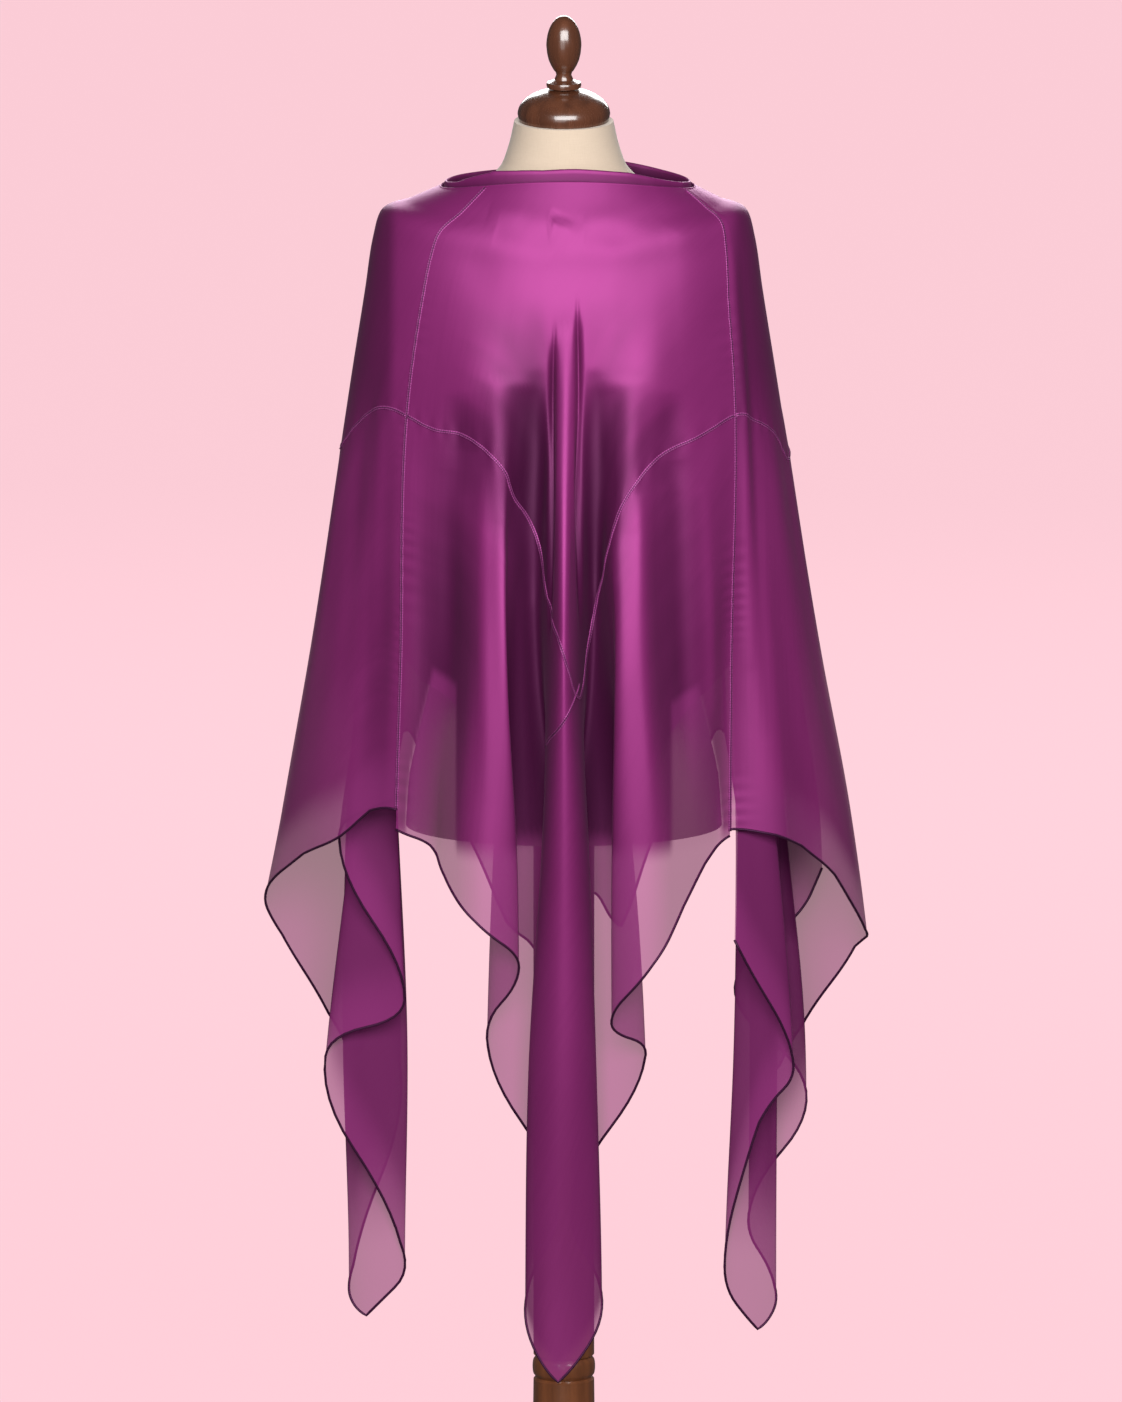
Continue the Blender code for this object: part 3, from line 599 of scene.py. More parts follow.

# %% [markdown]
# Satin never hangs perfectly smooth. Long soft ridges run down from the bust and shoulders, and
# drag lines cross the neckline. They are listed here one by one, each with its own start, end,
# width and depth, and they fade unevenly towards their ends. A ridge has a positive depth and a
# trough a negative one. Beside a seam the cloth also puckers a little.

# %% Creases and puckers
# first line and level, last line and level, half width, depth in mm
WRAP_CREASES = [
    (8.15, 1350, 8.05, 1040, 9.0, 3.6),
    (7.22, 1334, 7.05, 1020, 3.5, -7.0),
    (9.05, 1360, 9.10, 1030, 3.5, -7.4),
    (7.30, 1352, 7.20, 1240, 1.8, -2.2),
    (9.00, 1380, 9.05, 1260, 1.8, -2.2),
    (6.15, 1306, 6.10, 1060, 12.0, -5.2),
    (10.15, 1306, 10.2, 1070, 12.0, -5.2),
    (5.30, 1290, 5.20, 1110, 17.0, -5.0),
    (11.1, 1290, 11.2, 1120, 17.0, -4.8),
    (3.60, 1300, 3.70, 1150, 14.0, 3.2),
    (12.5, 1300, 12.4, 1140, 14.0, 2.6),
    (1.90, 1282, 2.10, 1170, 15.0, -3.0),
    (14.2, 1282, 14.1, 1180, 15.0, -2.4),
    (1.40, 1488, 7.20, 1470, 13.0, 1.2),
    (6.20, 1468, 13.6, 1482, 13.0, 1.2),
    (2.40, 1462, 8.20, 1442, 16.0, -0.9),
    (9.60, 1462, 14.2, 1446, 14.0, -1.0),
    (0.80, 1456, 4.00, 1350, 24.0, -0.8),
    (14.4, 1455, 11.8, 1345, 24.0, -0.7),
    (6.20, 1486, 9.60, 1474, 3.2, -1.1),
    (6.60, 1475, 9.00, 1468, 3.2, 0.9),
    (3.00, 1205, 3.20, 860, 9.0, 2.2),
    (4.70, 1150, 4.60, 830, 8.0, -2.4),
    (1.70, 1200, 1.60, 880, 13.0, -2.6),
    (5.60, 1090, 5.50, 700, 8.0, 2.2),
    (11.5, 1090, 11.6, 760, 8.0, -2.2),
    (12.9, 1180, 13.1, 800, 9.0, 2.2),
    (14.3, 1210, 14.4, 850, 12.0, -2.6),
    (15.1, 1180, 15.2, 890, 8.0, 1.6),
    (16.5, 1420, 16.6, 980, 8.0, 3.4),
    (16.9, 1330, 17.1, 900, 10.0, -2.4),
    (18.2, 1290, 18.5, 860, 15.0, 2.0),
    (19.4, 1220, 19.7, 800, 17.0, -2.6),
    (21.0, 1240, 21.2, 760, 16.0, 2.4),
    (22.6, 1230, 22.8, 720, 15.0, -2.4),
    (25.6, 1330, 25.7, 900, 14.0, -2.0),
    (27.5, 1380, 27.4, 880, 13.0, 2.2),
    (29.3, 1400, 29.1, 800, 12.0, -2.0),
    (30.7, 1350, 30.9, 840, 12.0, 2.2),
    (32.4, 1320, 32.3, 900, 14.0, -2.2),
    (35.6, 1260, 35.4, 780, 15.0, 2.4),
    (37.0, 1210, 36.9, 800, 16.0, -2.4),
    (38.6, 1240, 38.4, 850, 15.0, 2.0),
    (39.9, 1290, 39.7, 900, 15.0, -2.2),
    (40.9, 1330, 40.8, 960, 11.0, 1.8),
    (26.0, 1452, 29.0, 1440, 9.0, 1.8),
    (29.6, 1449, 33.0, 1441, 9.0, -1.6),
]
LEFT_TAIL_CREASES = [
    (3.3, 900, 3.5, 420, 8.0, 1.8),
    (4.6, 860, 4.7, 360, 7.0, -1.6),
    (5.6, 760, 5.4, 330, 6.0, 1.5),
    (7.2, 900, 7.4, 560, 9.0, -1.8),
]
RIGHT_TAIL_CREASES = [
    (1.4, 900, 1.6, 540, 8.0, -1.6),
    (3.5, 860, 3.4, 360, 7.0, 1.6),
    (4.6, 800, 4.5, 330, 6.0, -1.5),
    (6.6, 860, 6.8, 470, 8.0, 1.8),
    (9.0, 900, 9.2, 700, 9.0, -1.8),
]
PUCKER_DEPTH, PUCKER_REACH, PUCKER_PITCH = 0.35 * MM, 9 * MM, 15 * MM
# Rough distance between two fold lines at a seam
LINE_WIDTH = 26 * MM
# Points along a crease, how many fold lines away its reach is looked for, and a distance in metres
# that is longer than any reach
CREASE_STEPS = 14
CREASE_LINES = 6.0
FAR_AWAY = 9.0


def crease_relief(sheet, s, u, points, creases):
    """How far the creases push each point out, in metres."""
    relief = np.zeros(len(s))
    along = np.linspace(0.0, 1.0, CREASE_STEPS)
    for index, (s0, u0, s1, u1, width, depth) in enumerate(creases):
        path = sheet.at(s0 + (s1 - s0) * along, (u0 + (u1 - u0) * along) * MM)
        reach = 3 * width * MM
        close = (s > min(s0, s1) - CREASE_LINES) & (s < max(s0, s1) + CREASE_LINES)
        close &= (u > min(u0, u1) * MM - reach) & (u < max(u0, u1) * MM + reach)
        here = points[close]
        best = np.full(len(here), FAR_AWAY)
        share = np.zeros(len(here))
        for step, (first, last) in enumerate(zip(path[:-1], path[1:])):
            span = last - first
            t = np.clip((here - first) @ span / (span @ span), 0.0, 1.0)
            gap = np.linalg.norm(here - first - t[:, None] * span, axis=1)
            nearer = gap < best
            best[nearer] = gap[nearer]
            share[nearer] = (step + t[nearer]) / (CREASE_STEPS - 1)
        fade = np.clip(np.sin(math.pi * share**0.75), 0.0, 1.0) ** 0.8
        fade *= 1 + 0.25 * np.sin(9 * share + index)
        relief[close] += depth * MM * fade * np.exp(-((best / (width * MM)) ** 2))
    return relief


def wrap_relief(s, u, points):
    """Creases of the wrap, with puckers beside its seams."""
    relief = crease_relief(cloth, s, u, points, WRAP_CREASES)
    for seam in (0, cloth.right_seam, cloth.right_back_seam, cloth.left_back_seam, cloth.count):
        gap = np.abs(s - seam) * LINE_WIDTH
        wave = np.sin(2 * math.pi * u / PUCKER_PITCH + 5 * np.sin(u / 37e-3 + seam))
        wave *= np.clip(np.sin(u / 41e-3 + 2.0 * seam) + 0.2, 0.0, 1.0)
        relief += PUCKER_DEPTH * wave * np.exp(-((gap / PUCKER_REACH) ** 2))
    gap = np.abs(u - cloth.smooth(cloth.yoke, s))
    wave = np.sin(2 * math.pi * s * LINE_WIDTH / PUCKER_PITCH + 3 * np.sin(s * 0.7))
    return relief + PUCKER_DEPTH * wave * np.exp(-((gap / PUCKER_REACH) ** 2))


def drape(sheet, s, u, relief):
    """Points of a sheet with its creases, and the outward direction at each."""
    step, drop = 0.02, 1 * MM
    points = sheet.at(s, u)
    ahead = sheet.at(s + step, u) - sheet.at(s - step, u)
    level = np.clip(u, sheet.levels[0] + drop, sheet.levels[-1] - drop)
    below = sheet.at(s, level - drop) - sheet.at(s, level + drop)
    outward = np.cross(below, ahead)
    outward /= np.linalg.norm(outward, axis=1)[:, None]
    return points + outward * relief(s, u, points)[:, None], outward


print("creases:", len(WRAP_CREASES) + len(LEFT_TAIL_CREASES) + len(RIGHT_TAIL_CREASES))

# %% [markdown]
# Deep folds hold little light. Each point of the wrap gets a value named fold, which says how far it
# lies behind the folds beside it, and the satin is coloured darker there.

# %% Shade in the folds
def ramp(value, low, high):
    """A smooth step from 0 at one value to 1 at another."""
    share = np.clip((value - low) / (high - low), 0.0, 1.0)
    return share * share * (3 - 2 * share)


# How far behind its neighbours a fold is in deep painted shade, and the painted shade of the tails and of the
# sides
FOLD_SHADE = 9 * MM
TAIL_SHADE = 0.70
SIDE_SHADE = 0.52
# Distances from the middle, and heights, over which painted shade darkens the sides of the yoke
SIDE_SHADE_X = (172 * MM, 186 * MM)
SIDE_SHADE_LEVELS = (1150 * MM, 1300 * MM)
# Heights over which the shade of the folds grows above the hems, and fades out on the yoke
HEM_SHADE_LEVELS = (560 * MM, 900 * MM)
YOKE_SHADE_LEVELS = (1335 * MM, 1395 * MM)
# The middle fold gets less painted shade: its fold line, its width in lines, and the heights where that
# begins
MIDDLE_LINE, MIDDLE_WIDTH = 8, 0.75
MIDDLE_LEVELS = (1060 * MM, 1160 * MM)


def fold_depth(grid):
    """How deep each point lies behind the folds beside it, from 0 on a crest to 1 in a deep valley."""
    aims = np.radians(np.arange(-180, 180, 3))
    reach = grid[..., 0, None] * np.sin(aims) - grid[..., 1, None] * np.cos(aims)
    own = np.arctan2(grid[..., 0], -grid[..., 1])[..., None]
    facing = np.cos(aims - own) > 0.5
    gap = np.where(facing, reach.max(axis=1, keepdims=True) - reach, 1.0).min(axis=2)
    return 1 - np.exp(-gap / FOLD_SHADE)


def wrap_shade(s, u, grid):
    """The painted shade of the wrap's folds, with painted shade on the sides of its yoke."""
    side = SIDE_SHADE * ramp(np.abs(grid[..., 0].ravel()), *SIDE_SHADE_X) * ramp(u, *SIDE_SHADE_LEVELS)
    folds = fold_depth(grid).ravel() * (0.25 + 0.75 * ramp(u, *HEM_SHADE_LEVELS))
    folds *= 1 - 0.6 * np.exp(-(((s - MIDDLE_LINE) / MIDDLE_WIDTH) ** 2)) * (1 - ramp(u, *MIDDLE_LEVELS))
    folds *= 1 - ramp(u, *YOKE_SHADE_LEVELS)
    return np.maximum(folds, side)


print("depth of a fold in half shade, in mm:", round(math.log(2) * FOLD_SHADE / MM, 1))

# %% [markdown]
# A panel is a grid of points between two seams, joined by quads. Real silk is a tenth of a
# millimetre thick, so a single sheet is closer to it than a wall would be, and the eye looks through
# one face and not two. The UV map holds metres of cloth, so the weave keeps its size everywhere.

# %% Making a panel
def mark(obj, name, values):
    """Give each point of a sheet a value that its finish reads."""
    obj.data.attributes.new(name, "FLOAT", "POINT").data.foreach_set("value", np.asarray(values, np.float32))


def distances(points):
    """Distance along a row of points from its first one."""
    return np.concatenate([[0.0], np.cumsum(np.linalg.norm(np.diff(points, axis=0), axis=1))])


def cloth_object(name, points, faces, places, material):
    """A smooth mesh of cloth. The places are its UV map in metres, one for each corner of each face."""
    mesh = bpy.data.meshes.new(name)
    mesh.from_pydata(points.tolist(), [], faces)
    mesh.uv_layers.new(name="cloth").data.foreach_set("uv", places.ravel())
    mesh.materials.append(material)
    mesh.shade_smooth()
    obj = bpy.data.objects.new(name, mesh)
    bpy.context.scene.collection.objects.link(obj)
    return obj


def sheet_object(name, grid, material, cover=None):
    """A smooth single sheet on a grid of points, with a UV map in metres and its cover."""
    rows, columns = grid.shape[:2]
    across = np.zeros((rows, columns))
    across[:, 1:] = np.cumsum(np.linalg.norm(np.diff(grid, axis=1), axis=2), axis=1)
    down = np.zeros((rows, columns))
    down[1:] = np.cumsum(np.linalg.norm(np.diff(grid, axis=0), axis=2), axis=0)
    corner = (np.arange(rows - 1)[:, None] * columns + np.arange(columns - 1)).ravel()
    faces = np.stack([corner, corner + columns, corner + columns + 1, corner + 1], axis=1)
    places = np.stack([across.ravel(), -down.ravel()], axis=1)[faces.ravel()]
    obj = cloth_object(name, grid.reshape(-1, 3), faces.tolist(), places, material)
    if cover is not None:
        mark(obj, "cover", cover)
    return obj


def panel(name, sheet, span, tops, bottoms, relief, material, rows, steps, cover):
    """A panel between two line positions, and its lower edge as points and directions.

    The cover is a function of line position, level and height above the hem.
    """
    columns = np.linspace(span[0], span[1], int(round((span[1] - span[0]) * steps)) + 1)
    high, low = tops(columns), bottoms(columns)
    share = np.linspace(0.0, 1.0, rows + 1)[:, None]
    u = (high + (low - high) * share).ravel()
    s = np.tile(columns, rows + 1)
    points, outward = drape(sheet, s, u, relief)
    shape = (rows + 1, len(columns), 3)
    above_hem = u - np.tile(low, rows + 1)
    grid = points.reshape(shape)
    obj = sheet_object(name, grid, material, cover(s, u, above_hem))
    # Painted shade: the wrap's folds and yoke sides from wrap_shade, and an even shade over each tail
    mark(obj, "fold", wrap_shade(s, u, grid) if sheet.closed else np.full(len(s), TAIL_SHADE))
    return obj, grid[-1], outward.reshape(shape)[-1]


print("panel maker ready")

# %% [markdown]
# A hem is rolled and a seam is folded flat, so both stand a little proud of the cloth. Each is a
# closed band with a small section, drawn along points of the cloth's edge.

# %% Making a hem or a seam
def strip(name, path, outward, profile, material):
    """A closed band along a path of points. The profile holds distances across and out, in mm."""
    along = np.gradient(path, axis=0)
    along /= np.linalg.norm(along, axis=1)[:, None]
    side = np.cross(outward, along)
    side /= np.linalg.norm(side, axis=1)[:, None]
    sides, steps = len(profile), len(path)
    ring = [path + side * across * MM + outward * out * MM for across, out in profile]
    verts = np.array(ring).swapaxes(0, 1).reshape(-1, 3)
    faces = []
    for step in range(steps - 1):
        here, above = step * sides, (step + 1) * sides
        for first in range(sides):
            second = (first + 1) % sides
            faces.append((here + first, here + second, above + second, above + first))
    faces += [tuple(reversed(range(sides))), tuple(range((steps - 1) * sides, steps * sides))]
    corners = np.concatenate(faces)
    places = np.stack([distances(path)[corners // sides],
                       distances(np.array(profile))[corners % sides] * MM], axis=1)
    obj = cloth_object(name, verts, faces, places, material)
    bm = bmesh.new()
    bm.from_mesh(obj.data)
    bmesh.ops.recalc_face_normals(bm, faces=bm.faces)
    bm.to_mesh(obj.data)
    bm.free()
    return obj


def round_profile(radius, sides=8):
    """A round cord's section."""
    angles = np.linspace(0.0, 2 * math.pi, sides, endpoint=False)
    return [(radius * math.cos(a), radius * math.sin(a)) for a in angles]


HEM_PROFILE = round_profile(1.4)
LINING_HEM_PROFILE = round_profile(0.7)
SEAM_PROFILE = [(-1.9, -0.1), (-1.6, 0.9), (-0.7, 1.2), (-0.1, 0.3), (0.6, 0.5), (1.6, 0.35), (1.9, -0.1),
                (0.0, -0.3)]
print("seam width in mm:", SEAM_PROFILE[6][0] - SEAM_PROFILE[0][0])

# %% [markdown]
# The upper panels are solid satin. The lower ones are sheer: over the inner layer of the front they
# look solid, and below its V hem the form shows through. A value named cover says how dense the
# cloth is at each point. It is higher where more cloth lies behind, and over the form it is raised
# as painted shade of the form behind the sheer cloth.

# %% How dense the sheer cloth is
# Each row of four holds where a cover starts, is full, begins to end, and ends.
# Fold lines round the doubled middle of the front, and distances from the middle to its inner layers
MIDDLE_LINES = (6.3, 6.9, 9.1, 9.7)
DOUBLED_X = np.array([-115, -111, 110, 116]) * MM
# Fold lines behind the outer edges of both side panels, which are the fourth lines from their seams
RIGHT_EDGE_LINE, LEFT_EDGE_LINE = cloth.right_seam + 4, cloth.left_back_seam + 4
BEHIND_LINES = (RIGHT_EDGE_LINE - 0.3, RIGHT_EDGE_LINE + 0.4, LEFT_EDGE_LINE - 0.4, LEFT_EDGE_LINE + 0.3)
# Heights of the seam allowance, and of the form's lower edge
ALLOWANCE_LEVELS, FORM_FOOT_LEVELS = (1195 * MM, 1225 * MM), (795 * MM, 822 * MM)
# Heights of the front panel, and half widths of the form seen behind it
FORM_EDGE = (np.array([822, 880, 930, 990, 1050]) * MM, np.array([166, 161, 151, 137, 126]) * MM)


def plateau(value, start, full, leave, end):
    """A smooth step up from 0 to 1, and another one down again."""
    return ramp(value, start, full) * (1 - ramp(value, leave, end))


def solid_cover(s, u, above_hem):
    """Solid all over."""
    return np.ones(len(s))


def front_cover(s, u, above_hem):
    """Solid in the seam allowance, nearly so in the folded middle, and denser over the form, partly as
    painted shade of the form behind.
    """
    allowance = ramp(u, *ALLOWANCE_LEVELS)
    middle = 0.85 * plateau(s, *MIDDLE_LINES) * ramp(above_hem, 0.0, 30 * MM)
    x = cloth.at(s, u)[:, 0]
    beside_form = ramp(np.abs(x) - np.interp(u, *FORM_EDGE), -4 * MM, 2 * MM)
    lined = ramp(u - np.interp(s, range(len(cloth.lining)), cloth.lining), 4 * MM, 20 * MM)
    # Above the form's foot the cover rises a little everywhere as painted shade of the form behind the sheer
    # cloth, and much more in the doubled middle, beside the form and over the inner layer
    shaded = np.maximum(np.maximum(0.10 + 0.82 * plateau(x, *DOUBLED_X), 0.88 * beside_form), 0.9 * lined)
    shaded *= ramp(u, *FORM_FOOT_LEVELS)
    return np.maximum(np.maximum(allowance, middle), shaded)


def back_cover(s, u, above_hem):
    """Sheer below the form, closer over it, with the cloth doubled at the yoke seam."""
    return 0.55 * ramp(u, 795 * MM, 850 * MM) + 0.3 * ramp(u, 1150 * MM, 1220 * MM)


def faced_cover(s, u, above_hem):
    """Doubled cloth above a sheer band along the hem, and a wider band behind the panel's outer edge."""
    behind = plateau(s, *BEHIND_LINES)
    before = 1 - behind
    return 0.9 * (ramp(above_hem, 18 * MM, 70 * MM) * before + ramp(above_hem, 260 * MM, 420 * MM) * behind)


def tail_cover(s, u, above_hem):
    """Nearly solid where the folds lie over each other, sheer towards the tip."""
    return 0.62 * ramp(above_hem, 8 * MM, 80 * MM) * ramp(u, 330 * MM, 470 * MM)


print("half width of the form at its foot, in metres:", FORM_EDGE[1][0])

# %% [markdown]
# Every panel lies between two seams and replaces the plain solid of the same name. A yoke panel
# runs from the neckline to the curved seam. A skirt panel runs from there to its pointed hem,
# which is rolled and stitched, and painted dark as shade in the roll.

# %% The panels of the wrap
YOKE_ROWS, SKIRT_ROWS, TAIL_ROWS = 70, 180, 170
HEM_SHARPNESS = 0.55
cloth_pieces, hem_pieces = {}, {}


def pointed(sheet, hems, s):
    """A hem between straight and smooth, so that its points stay sharp."""
    return HEM_SHARPNESS * sheet.between(hems, s) + (1 - HEM_SHARPNESS) * sheet.smooth(hems, s)


def yoke_line(s):
    """Height of the yoke seam."""
    return cloth.smooth(cloth.yoke, s)


def neckline(s):
    """Level of the neckline."""
    return np.full(len(s), cloth.levels[-1])


# first and last fold line, columns for each line, yoke node, skirt node and the skirt's cover
REGIONS = {
    "front": (0, cloth.right_seam, 12, "front_yoke", "front_skirt", front_cover),
    "side_right": (cloth.right_seam, cloth.right_back_seam, 10, "side_yoke_right", "side_skirt_right",
                   faced_cover),
    "back": (cloth.right_back_seam, cloth.left_back_seam, 10, "back_yoke", "back_skirt", back_cover),
    "side_left": (cloth.left_back_seam, cloth.left_seam, 10, "side_yoke_left", "side_skirt_left",
                  faced_cover),
}
for region, (first, last, steps, yoke, skirt, cover) in REGIONS.items():
    cloth_pieces[yoke], _, _ = panel(yoke + "_satin", cloth, (first, last), neckline, yoke_line, wrap_relief,
                                     SATIN_SOLID, YOKE_ROWS, steps, solid_cover)
    hem = cloth.hem.copy()
    if region == "front":
        hem[cloth.right_seam] = RIGHT_SEAM_FRONT_HEM
    if region == "side_left":
        hem[0] = LEFT_SEAM_SIDE_HEM
    cloth_pieces[skirt], edge, outward = panel(skirt + "_satin", cloth, (first, last), yoke_line,
                                               lambda s: pointed(cloth, hem, s), wrap_relief,
                                               SATIN_SHEER, SKIRT_ROWS, steps, cover)
    hem_pieces[skirt] = strip(skirt + "_hem", edge, outward, HEM_PROFILE, HEM_SATIN)
print("panels:", {name: len(obj.data.polygons) for name, obj in cloth_pieces.items()})

# %% [markdown]
# Each side tail is one long panel, folded back and forth like a fan and caught in the seam under
# the side yoke. It has its own fold lines and the same smooth surface between them. One fold of
# each tail lies wholly behind the others above a level, and is solid there.

# %% The side tails
# name, fold lines, front seam, direction of the lines, creases, first line of the fold behind
TAILS = [
    ("side_tail_left", LEFT_TAIL, cloth.left_seam, -1, LEFT_TAIL_CREASES, 3),
    ("side_tail_right", RIGHT_TAIL, cloth.right_seam, 1, RIGHT_TAIL_CREASES, 6),
]
TAIL_STEPS = 12
BEHIND_LEVELS = (620 * MM, 700 * MM)


def folded_cover(s, u, above_hem, behind):
    """The cover of a tail, solid in the fold that lies behind the others."""
    hidden = plateau(s, behind, behind + 0.15, behind + 0.85, behind + 1) * ramp(u, *BEHIND_LEVELS)
    return np.maximum(tail_cover(s, u, above_hem), hidden)


for name, table, seam, rearward, creases, behind in TAILS:
    tail, tail_hem = tail_sheet(cloth, table, seam, rearward)
    lines = np.array([row[1] for row in table])
    order = range(len(table))
    cloth_pieces[name], edge, outward = panel(
        name + "_satin", tail, (0, len(table) - 1),
        lambda s: yoke_line(seam + rearward * np.interp(s, order, lines)) - TAIL_BELOW_YOKE,
        lambda s: pointed(tail, tail_hem, s), lambda s, u, p: crease_relief(tail, s, u, p, creases),
        SATIN_SHEER, TAIL_ROWS, TAIL_STEPS, lambda s, u, h: folded_cover(s, u, h, behind))
    hem_pieces[name] = strip(name + "_hem", edge, outward, HEM_PROFILE, HEM_SATIN)
print("tails:", [name for name in cloth_pieces if "tail" in name])

# %% [markdown]
# Behind the front hangs an inner layer with a V hem, caught in the front seams. Nothing is gathered
# into it, so it is a plain sheet drawn from seam to seam and bowed a little towards the front.

# %% The inner layer of the front
LINING_ROWS, LINING_COLUMNS = 60, 160
columns = np.linspace(0, cloth.right_seam, LINING_COLUMNS + 1)
hems = np.interp(columns, range(len(cloth.lining)), cloth.lining)
grid = []
for share in np.linspace(0.0, 1.0, LINING_ROWS + 1):
    heights = LINING_TOP + (hems - LINING_TOP) * share
    left = cloth.at(np.zeros(len(columns)), heights)
    right = cloth.at(np.full(len(columns), float(cloth.right_seam)), heights)
    across = columns / cloth.right_seam
    fall = (LINING_TOP - heights) / (LINING_TOP - cloth.lining.min())
    bow = LINING_BOW_TOP + (LINING_BOW_HEM - LINING_BOW_TOP) * np.sqrt(fall)
    row = left + (right - left) * across[:, None]
    row[:, 1] += LINING_BACK - bow * np.sin(math.pi * across)
    grid.append(row)
grid = np.array(grid)
cloth_pieces["front_lining"] = sheet_object("front_lining_satin", grid, SATIN_SOLID)
hem_pieces["front_lining"] = strip("front_lining_hem", grid[-1], np.tile((0.0, -1.0, 0.0), (len(columns), 1)),
                                   LINING_HEM_PROFILE, SEAM_SATIN)
print("lining points:", grid.shape[0] * grid.shape[1])

# %% [markdown]
# The neckline is turned in and stands up as a soft fold inside itself. Its section starts on the
# panel's top edge, rolls over, dips, and rises to the fold. The fold is high round the front, lower
# over the shoulders, and almost gone in the middle of the back.

# %% Neckline
NECK_COLUMNS = 360
# angle from the front, towards the wearer's left, and how high the fold stands there in mm
FOLD_RISE = [(-180, 1), (-128, 2), (-104, 5), (-90, 6), (-75, 7), (-66, 12), (-54, 17), (-40, 14), (-20, 12),
             (20, 11.5), (50, 12), (63, 10), (74, 8), (90, 6), (106, 7), (130, 9), (152, 8), (180, 2)]
# distance in from the neckline, share of the fold height, height added, in mm
NECK_SECTION = [
    (-0.3, 0.0, -1.5), (0.0, 0.0, 0.6), (0.9, 0.0, 1.3), (1.7, 0.0, 0.2), (2.1, 0.0, -3.0), (3.2, 0.0, -6.0),
    (4.3, 0.2, -3.0), (4.8, 0.66, 0.0), (5.4, 0.93, 0.3), (6.4, 1.0, 0.6), (7.5, 0.93, 0.3), (8.4, 0.6, 0.0),
    (9.0, 0.0, -3.0), (9.3, 0.0, -12.0),
]
# Painted shade in the fold at each step of the section, darkest in its dip and on its inner side
NECK_SHADE = [0.0, 0.0, 0.0, 0.3, 0.8, 1.0, 0.75, 0.35, 0.1, 0.1, 0.5, 0.8, 1.0, 1.0]
neck_s = np.linspace(0, cloth.count, NECK_COLUMNS + 1)
neck_top, _ = drape(cloth, neck_s, neckline(neck_s), wrap_relief)
inward = -neck_top * (1.0, 1.0, 0.0)
inward /= np.linalg.norm(inward, axis=1)[:, None]
around = np.degrees(np.arctan2(neck_top[:, 0], -neck_top[:, 1]))
rise = np.interp(around, [row[0] for row in FOLD_RISE], [row[1] for row in FOLD_RISE]) * MM
# The fold's height sways a little along the neckline
sway = 1 + 0.09 * np.sin(neck_top[:, 0] * 31 + 0.9) + 0.02 * np.sin(neck_top[:, 0] * 97)
grid = []
for distance, height_share, added in NECK_SECTION:
    row = neck_top + inward * distance * MM
    row[:, 2] += rise * height_share * sway + added * MM
    grid.append(row)
cloth_pieces["neck_fold"] = sheet_object("neck_fold_satin", np.array(grid), SATIN_SOLID)
mark(cloth_pieces["neck_fold"], "fold", np.repeat(NECK_SHADE, len(neck_s)))
print("neckline length in metres:", round(float(np.linalg.norm(np.diff(neck_top, axis=0), axis=1).sum()), 3))

# %% [markdown]
# The panels are joined with flat-felled seams: both raw edges are folded under and stitched flat,
# so the seam is a narrow band, higher on one side. Each band follows points of the cloth.

# %% Seams
SEAM_STEP = 4 * MM
# name, fold line, and where the seam ends in mm
UPRIGHT_SEAMS = [
    ("front_left", 0, 836), ("front_right", cloth.right_seam, 812),
    ("back_right", cloth.right_back_seam, 870), ("back_left", cloth.left_back_seam, 870),
]
# Fold line and height in metres at both ends of the seam across the folded middle
MIDDLE_SEAM = np.array([(8.95, 0.981), (7.00, 0.915)])
MIDDLE_SEAM_POINTS = 24
seam_pieces = []
for name, line, end in UPRIGHT_SEAMS:
    top = cloth.levels[-1] - 2 * MM
    u = np.linspace(top, end * MM, int((top - end * MM) / SEAM_STEP))
    path, outward = drape(cloth, np.full(len(u), float(line)), u, wrap_relief)
    seam_pieces.append(strip("seam_" + name, path, outward, SEAM_PROFILE, SEAM_SATIN))
for region, (first, last, *_) in REGIONS.items():
    s = np.linspace(first, last, int((last - first) * 8) + 1)
    path, outward = drape(cloth, s, yoke_line(s), wrap_relief)
    seam_pieces.append(strip("seam_yoke_" + region, path, outward, SEAM_PROFILE, SEAM_SATIN))
path, outward = drape(cloth, *np.linspace(*MIDDLE_SEAM, MIDDLE_SEAM_POINTS).T, wrap_relief)
seam_pieces.append(strip("seam_middle_fold", path, outward, SEAM_PROFILE, SEAM_SATIN))
print("seams:", [piece.name for piece in seam_pieces])

# %% [markdown]
# The form is a padded body covered in natural linen. Rings are added at measured heights, their
# front and back halves are scaled to different depths, and bridging them makes a smooth skin.

# %% Linen
LINEN_LIGHT, LINEN_DARK = (0.57, 0.46, 0.36), (0.45, 0.35, 0.26)
linen = Finish("linen_weave", Roughness=0.9, Sheen_Weight=0.25)
warp = linen.noise(linen.place(OBJECT_PLACE, (1500.0, 1500.0, 110.0)), 1.0, 2.0)
weft = linen.noise(linen.place(OBJECT_PLACE, (110.0, 110.0, 1500.0)), 1.0, 2.0)
patches = linen.noise(linen.place(OBJECT_PLACE, (9.0, 9.0, 9.0)), 1.0, 2.0)
linen.feed("Base Color", linen.blend(warp * 0.4 + weft * 0.4 + patches * 0.2, LINEN_DARK, LINEN_LIGHT))
linen.bump(warp * 0.5 + weft * 0.5, 0.0005, 0.5)

